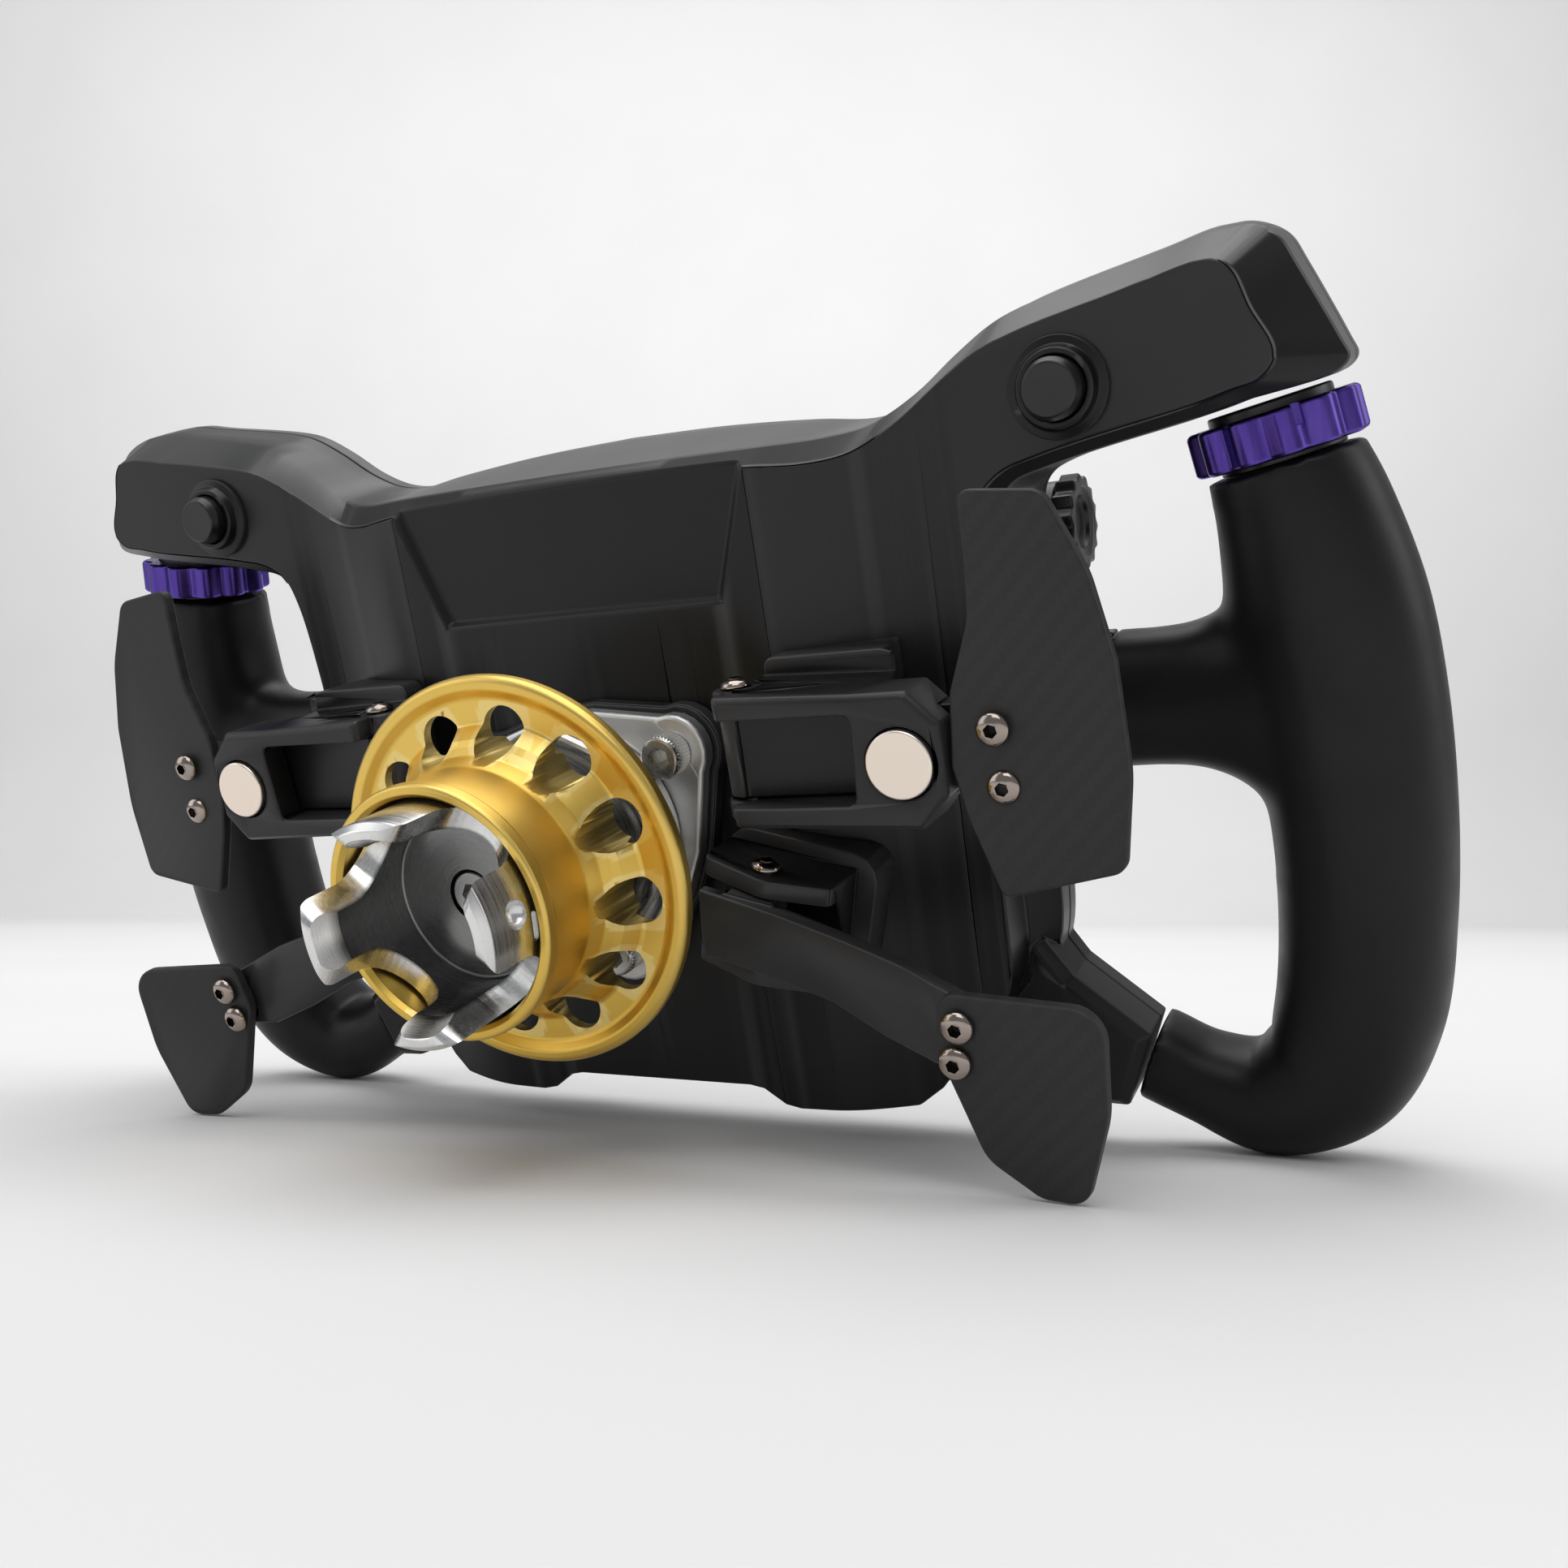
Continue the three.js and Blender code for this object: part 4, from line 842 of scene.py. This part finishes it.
# ---- grips and thumb rings ----------------------------------------------------------------------------
# Stations along a grip's centre line: x, y, z and the half width and half depth of the section.
GRIP_STATIONS = [
    (129.6, -21, 52, 12.9, 13.2), (131.9, -21, 42.5, 14.6, 14.2), (134.4, -21, 27, 16.6, 15.2),
    (136.6, -21.5, 10, 16.6, 15.4), (138, -21.8, -10, 15.8, 15.2), (137.6, -22, -30, 15.2, 15),
    (135, -22.5, -49, 14.8, 14.6), (129.4, -23.5, -62, 13.4, 13.6), (118, -24, -68.4, 11.2, 12),
    (106, -23.5, -65.3, 8.6, 10.4), (96.2, -23, -60.4, 8.8, 9.6),
]
# Stations along a grip's middle arm: x and the section's half height and half depth.
ARM_STATIONS = [
    (96.9, 12.8, 9.8), (104, 12.7, 9.6), (109, 13.0, 9.7), (113, 13.9, 10.1), (117, 15.6, 10.8),
    (120, 17.8, 11.6), (124, 21, 12.4),
]
ARM_PLACE = (-22, 12)
GRIP_TOP = (129.6, -21, 52)
GRIP_TILT = math.radians(10.5)
GRIP_UP = (-0.182, 0.983)
GRIP_END = (-0.936, 0, 0.351)
SKIN_SLACK = 0.06
GRIP_SIDES = 56
VOXEL = 0.8


def centripetal(points, count):
    """Points along a centripetal Catmull-Rom curve, evenly spaced in its parameter."""
    p = np.array(points, float)
    p = np.vstack([2 * p[0] - p[1], p, 2 * p[-1] - p[-2]])
    gaps = np.sqrt(np.linalg.norm(np.diff(p[:, :3], axis=0), axis=1))
    knots = np.concatenate([[0], np.cumsum(gaps)])
    result = []
    for k in range(count + 1):
        place = k / count * (len(points) - 1)
        i = min(int(place), len(points) - 2)
        t0, t1, t2, t3 = knots[i:i + 4]
        t = t1 + (place - i) * (t2 - t1)
        p0, p1, p2, p3 = p[i:i + 4]
        a1 = (t1 - t) / (t1 - t0) * p0 + (t - t0) / (t1 - t0) * p1
        a2 = (t2 - t) / (t2 - t1) * p1 + (t - t1) / (t2 - t1) * p2
        a3 = (t3 - t) / (t3 - t2) * p2 + (t - t2) / (t3 - t2) * p3
        b1 = (t2 - t) / (t2 - t0) * a1 + (t - t0) / (t2 - t0) * a2
        b2 = (t3 - t) / (t3 - t1) * a2 + (t - t1) / (t3 - t1) * a3
        result.append((t2 - t) / (t2 - t1) * b1 + (t - t1) / (t2 - t1) * b2)
    return np.array(result)


def superellipse(c, power):
    """A cosine or sine that squares a round section a little when the power is below 1."""
    return math.copysign(abs(c) ** power, c)


def grip(side, materials):
    sign = 1 if side == "right" else -1
    path = centripetal(GRIP_STATIONS, 110)
    tangents = np.gradient(path[:, :3], axis=0)
    tangents[0] = (math.sin(GRIP_TILT), 0, -math.cos(GRIP_TILT))
    tangents[-1] = GRIP_END
    rings = []
    for (x, y, z, wide, deep), tangent in zip(path, tangents):
        normal = np.array((-tangent[2], 0, tangent[0]))
        normal /= np.linalg.norm(normal)
        ring = []
        for i in range(GRIP_SIDES):
            angle = 2 * math.pi * i / GRIP_SIDES
            c = superellipse(math.cos(angle), 0.86) * wide
            s = superellipse(math.sin(angle), 0.86) * (deep - SKIN_SLACK)
            ring.append((sign * (x + normal[0] * c), y + s, z + normal[2] * c))
        rings.append(ring)
    handle = tube(f"{side}_grip_finish", rings)
    turns = np.linspace(0, 2 * math.pi, 48, endpoint=False)
    section = [(superellipse(math.cos(t), 0.8), superellipse(math.sin(t), 0.8)) for t in turns]
    arm = tube("arm", [[(sign * x, ARM_PLACE[0] + c * depth, ARM_PLACE[1] + s * tall) for c, s in section]
                       for x, tall, depth in ARM_STATIONS])
    boolean(handle, [arm], "UNION")
    remesh = handle.modifiers.new("remesh", "REMESH")
    remesh.mode = "VOXEL"
    remesh.voxel_size = VOXEL
    apply_modifiers(handle)
    soften(handle, sign)
    smooth(handle, 60, weighted=False)
    settle(handle, f"{side}_grip", materials)


def soften(obj, sign):
    """Smooths the skin lightly all over, strongly where the arm meets the handle, and hardly at the ends."""
    light_steps, all_steps = 6, 64
    mesh = obj.data
    points = np.empty(len(mesh.vertices) * 3)
    mesh.vertices.foreach_get("co", points)
    points = points.reshape(-1, 3)
    edges = np.empty(len(mesh.edges) * 2, int)
    mesh.edges.foreach_get("vertices", edges)
    edges = edges.reshape(-1, 2)
    count = np.bincount(edges.ravel(), minlength=len(points)).astype(float)
    x, z = sign * points[:, 0], points[:, 2]
    joint = np.clip(1 - np.abs(x - 119) / 13, 0, 1) * (np.abs(z - ARM_PLACE[1]) < 34)
    above_top = (x - GRIP_TOP[0]) * GRIP_UP[0] + (z - GRIP_TOP[2]) * GRIP_UP[1]
    ends = (x < 98.6) | (above_top > -2 * VOXEL)
    light = np.where(ends, 0.12, 0.5)
    for step in range(all_steps):
        share = light if step < light_steps else joint * 0.5
        total = np.zeros_like(points)
        for axis in range(3):
            total[:, axis] = (np.bincount(edges[:, 0], points[edges[:, 1], axis], len(points))
                              + np.bincount(edges[:, 1], points[edges[:, 0], axis], len(points)))
        points += (total / count[:, None] - points) * share[:, None]
    mesh.vertices.foreach_set("co", points.ravel())
    mesh.update()


def ring_matrix(sign):
    """The place of what sits on a grip's top end, with its Y axis along the grip."""
    tilt = Matrix.Rotation(-sign * GRIP_TILT, 4, "Y")
    top = Matrix.Translation((sign * GRIP_TOP[0], *GRIP_TOP[1:]))
    return top @ tilt @ Matrix.Rotation(math.pi / 2, 4, "X")


THUMB_RING_RADIUS = 14.6
NOTCH_TURN = {"right": 200, "left": 115}


def fluted(radius, flutes, depth, narrow, count):
    """An outline with rounded flutes cut into it."""
    outline = []
    for i in range(count):
        angle = 2 * math.pi * i / count
        dip = (0.5 + 0.5 * math.cos(flutes * angle)) ** narrow
        outline.append(((radius - depth * dip) * math.cos(angle), (radius - depth * dip) * math.sin(angle)))
    return outline


def thumb_ring(side, materials):
    sign = 1 if side == "right" else -1
    outline = fluted(THUMB_RING_RADIUS, 12, 1.5, 1.5, 288)
    levels = [(1.2, 0.9), (1.35, 0.5), (1.6, 0.2), (2.0, 0), (8.2, 0), (8.6, 0.2), (8.85, 0.5), (9.0, 0.9)]
    scales = [(y, 1 - inset / THUMB_RING_RADIUS) for y, inset in levels]
    rings = [[(a * scale, y, b * scale) for a, b in outline] for y, scale in scales]
    ring = tube(f"{side}_thumb_ring_finish", rings)
    bore = prism("bore", circle(10.8, 96), 0, 12)
    notch_turn = Matrix.Rotation(math.radians(NOTCH_TURN[side]), 4, "Y")
    notch = prism("notch", [(12.6, -0.9), (16, -0.9), (16, 0.9), (12.6, 0.9)], 5.4, 10, notch_turn)
    boolean(ring, [bore, notch])
    bevel(ring, 0.16, 2, 50)
    ring.data.transform(ring_matrix(sign))
    smooth(ring, 38)
    settle(ring, f"{side}_thumb_ring", materials)
    profile = rounded([(0, 0.3), (10.5, 0.3, 0.3), (10.5, 10.6, 0.5), (9.6, 10.6), (0, 10.6)], 3)
    collar = lathe(f"{side}_ring_collar_finish", profile, 72, matrix=ring_matrix(sign))
    smooth(collar, 35)
    settle(collar, f"{side}_ring_collar", materials)


# ---- carbon paddles -----------------------------------------------------------------------------------
SHIFTER_OUTLINE = [
    (88, 57.4, 2), (101.6, 55.9, 3.5), (107.6, 43, 20), (110.6, 29, 12), (111.5, 11.5, 30), (109.4, -4.3, 3),
    (89, -8.6, 1.6), (84.5, 4.4, 8), (82.4, 13.5, 5), (83.4, 25.6, 4), (87.6, 37, 10), (88, 46),
]
CLUTCH_OUTLINE = [
    (79.6, -21, 3.4), (107.6, -21.8, 5.5), (106.4, -40, 20), (101.2, -55.8, 4), (93.5, -55.8, 5),
    (84.4, -50, 7), (77.6, -30.6, 5),
]
PADDLE_THICK = 2.5
SHIFTER_FACE = (0, 28.4, 15)
SHIFTER_TILT = math.radians(3.2)
CLUTCH_HINGE = (78, 39.4, 0)
CLUTCH_SWING = math.radians(6)


def paddle(side, name, outline, matrix, materials):
    """A carbon plate; the matrix places the driver's right one, and the left one is its mirror image."""
    sign = 1 if side == "right" else -1
    plate = prism(f"{side}_{name}_finish", rounded(outline, 8), 0, PADDLE_THICK)
    bevel(plate, 0.62, 4, 50, clamp=False, harden=True)
    plate.data.transform(Matrix.Diagonal((sign, 1, 1, 1)) @ matrix)
    if sign < 0:
        plate.data.flip_normals()
    settle(plate, f"{side}_{name}", materials)


def paddles(side, materials):
    tilt = Matrix.Translation(SHIFTER_FACE) @ Matrix.Rotation(SHIFTER_TILT, 4, "X")
    tilt = tilt @ Matrix.Translation((0, 0, -SHIFTER_FACE[2]))
    paddle(side, "shifter_plate", SHIFTER_OUTLINE, tilt, materials)
    swing = Matrix.Translation(CLUTCH_HINGE) @ Matrix.Rotation(CLUTCH_SWING, 4, "Z")
    swing = swing @ Matrix.Translation((-CLUTCH_HINGE[0], 0, 0))
    paddle(side, "clutch_plate", CLUTCH_OUTLINE, swing, materials)


# ---- side thumb wheels --------------------------------------------------------------------------------
KNOB_PLACE = (78.5, -36.2, 44.1)
KNOB_TEETH = 14
KNOB_RADIUS = 9.3
KNOB_POINTS = 280


def side_knob(side, materials):
    sign = 1 if side == "right" else -1
    outline = fluted(KNOB_RADIUS, KNOB_TEETH, 1.1, 0.7, KNOB_POINTS)

    def rim(inset, along):
        share = 1 - inset / KNOB_RADIUS
        return [(a * share, along, b * share) for a, b in outline]

    def plain(radius, along):
        return [(a, along, b) for a, b in circle(radius, KNOB_POINTS)]

    rings = [plain(8.0, 0), plain(8.3, 0.3), plain(8.3, 6.9), plain(8.15, 7.0), rim(0.5, 7.2), rim(0.15, 7.4),
             rim(0, 7.7), rim(0, 10.7), rim(0.15, 11), rim(0.5, 11.25), plain(7.6, 11.3), plain(6.9, 11.3),
             plain(6.5, 10.9), plain(5.2, 10.6), plain(4.9, 9.9), plain(3.4, 9.4)]
    place = Matrix.Translation((sign * KNOB_PLACE[0], *KNOB_PLACE[1:]))
    knob = tube(f"{side}_side_knob_finish", rings, place @ Matrix.Rotation(-sign * math.pi / 2, 4, "Z"))
    smooth(knob, 34)
    settle(knob, f"{side}_side_knob", materials)
    block = refined(f"{side}_knob_block", 0.5, 3, 30)
    settle(block, f"{side}_knob_block", materials)


# ---- rear buttons and magnets -------------------------------------------------------------------------
def axis_place(node):
    """Moves a lathed piece onto the CAD node's own axis."""
    low, high = design_box(node)
    return Matrix.Translation(((low[0] + high[0]) / 2, 0, (low[2] + high[2]) / 2))


def shifter_magnet(side, materials):
    node = f"{side}_shifter_magnet"
    profile = rounded([(0, 29.3), (5.9, 29.3), (5.9, 33.5, 0.45), (0, 33.5)], 4)
    magnet = lathe(node + "_finish", profile, 72)
    magnet.data.transform(axis_place(node))
    smooth(magnet, 40)
    settle(magnet, node, materials, material="magnet_nickel")


def rear_button(side, materials):
    place = axis_place(f"{side}_rear_button")
    profile = rounded([(0, -5), (5.2, -5, 0.2), (5.2, 5.0, 0.5), (4.5, 6.5, 0.5), (3.8, 6.5), (0, 6.4)], 4)
    cap = lathe(f"{side}_rear_button_finish", profile, 72, matrix=place)
    smooth(cap, 40)
    settle(cap, f"{side}_rear_button", materials)
    collar = lathe(f"{side}_button_collar_finish", rounded([
        (5.5, -8), (5.5, 3.2, 0.3), (6.5, 3.2, 0.5), (7.1, 1.5, 0.5), (8.6, 1.1, 0.3), (8.6, 0.3),
        (7.3, 0.3), (7.3, -8)], 4), 96, closed=True, matrix=place)
    smooth(collar, 40)
    settle(collar, f"{side}_button_collar", materials)


# ---- put together -------------------------------------------------------------------------------------
# Pieces that keep the CAD's shape, with the roundness of their edges.
MIDDLE_NODES = {
    "display_panel": (0.4, 3, 40), "light_bar": (0.35, 2, 40), "circuit_board": (0.1, 1, 40),
    "release_spring": (0,),
}
SIDE_NODES = {
    "shifter_bracket": 0.5, "shifter_arm": 0.35, "clutch_bracket": 0.4, "clutch_arm": 0.45,
    "front_button_upper": 0.3, "front_button_middle": 0.3, "front_button_lower": 0.3,
}


def build(materials):
    rear_housing(materials)
    front_plate(materials)
    for node, finish in MIDDLE_NODES.items():
        settle(refined(node, *finish), node, materials)
    gold_ring(materials)
    nose(materials)
    adapter(materials)
    for side in ("right", "left"):
        grip(side, materials)
        thumb_ring(side, materials)
        rear_button(side, materials)
        paddles(side, materials)
        side_knob(side, materials)
        for node, width in SIDE_NODES.items():
            settle(refined(f"{side}_{node}", width), f"{side}_{node}", materials)
        shifter_magnet(side, materials)
        for joint, slope in (("shifter", 0), ("clutch", CLUTCH_PIN_TILT)):
            button_screw(f"{side}_{joint}_screw_upper", materials)
            button_screw(f"{side}_{joint}_screw_lower", materials)
            button_screw(f"{side}_{joint}_pivot_screw", materials, True, slope)


# ---- stage --------------------------------------------------------------------------------------------
BACKDROP_HALF = 8
BACKDROP_NEAR = -4
BACKDROP_FAR = 2.3
BACKDROP_BEND = 0.4
BACKDROP_TOP = 6


def level_part(forward):
    """The direction without its rise or fall."""
    return Vector((forward.x, forward.y, 0)).normalized()


def add_stage(forward):
    """A sheet of pale paper that lies under the wheel and bends up behind it."""
    bottom = cad_box[0][2]
    ahead = level_part(forward)
    across = Vector((ahead.y, -ahead.x, 0))
    m = Material("stage_paper", (0.8, 0.8, 0.79), 0.85)
    m.colour(m.mix(m.span(m.noise(0.004, 3), 0.3, 0.7, 0, 1), (0.79, 0.785, 0.78), (0.81, 0.805, 0.8)))
    m.bump(m.noise(0.8, 2), 0.15, 0.0002)
    route = [(BACKDROP_NEAR, bottom)]
    for i in range(9):
        angle = math.pi / 2 * i / 8
        route.append((BACKDROP_FAR + BACKDROP_BEND * math.sin(angle),
                      bottom + BACKDROP_BEND * (1 - math.cos(angle))))
    route.append((BACKDROP_FAR + BACKDROP_BEND, BACKDROP_TOP))
    vertices = [ahead * far + across * side * BACKDROP_HALF + Vector((0, 0, high))
                for far, high in route for side in (-1, 1)]
    faces = [(2 * i, 2 * i + 1, 2 * i + 3, 2 * i + 2) for i in range(len(route) - 1)]
    mesh = bpy.data.meshes.new("backdrop")
    mesh.from_pydata([tuple(v) for v in vertices], [], faces)
    mesh.shade_smooth()
    mesh.materials.append(m.material)
    floor = bpy.data.objects.new("backdrop", mesh)
    bpy.context.scene.collection.objects.link(floor)


def add_light(name, place, target, width, height, power):
    """A soft rectangular light that faces its target; sizes are in metres and the power in watts."""
    data = bpy.data.lights.new(name, "AREA")
    data.shape = "RECTANGLE"
    data.size = width
    data.size_y = height
    data.energy = power
    light = bpy.data.objects.new(name, data)
    light.location = place
    light.rotation_euler = (Vector(target) - Vector(place)).to_track_quat("-Z", "Y").to_euler()
    bpy.context.scene.collection.objects.link(light)


def add_lights(forward):
    bpy.context.scene.view_settings.view_transform = "Standard"
    wheel = (0, 0, 0)
    add_light("key", (0.1, 0, 1.5), wheel, 1.8, 1.4, 17)
    add_light("front_top", (-0.4, 1.3, 1.3), wheel, 1.2, 0.8, 6)
    add_light("left_fill", (1.3, 0.9, 0.7), wheel, 1.0, 1.4, 5)
    add_light("right_rim", (-1.4, -0.5, 0.7), wheel, 0.8, 1.4, 6)
    ahead = level_part(forward)
    wall = ahead * (BACKDROP_FAR + BACKDROP_BEND) + Vector((0, 0, 0.7))
    add_light("backdrop_wash", ahead * 1.2 + Vector((0, 0, 1.9)), wall, 4, 0.8, 36)
    world = bpy.data.worlds.new("studio")
    world.use_nodes = True
    background = world.node_tree.nodes["Background"]
    background.inputs["Color"].default_value = (0.93, 0.95, 1, 1)
    background.inputs["Strength"].default_value = 0.3
    bpy.context.scene.world = world


view_forward = add_camera()
build(add_materials())
add_stage(view_forward)
add_lights(view_forward)
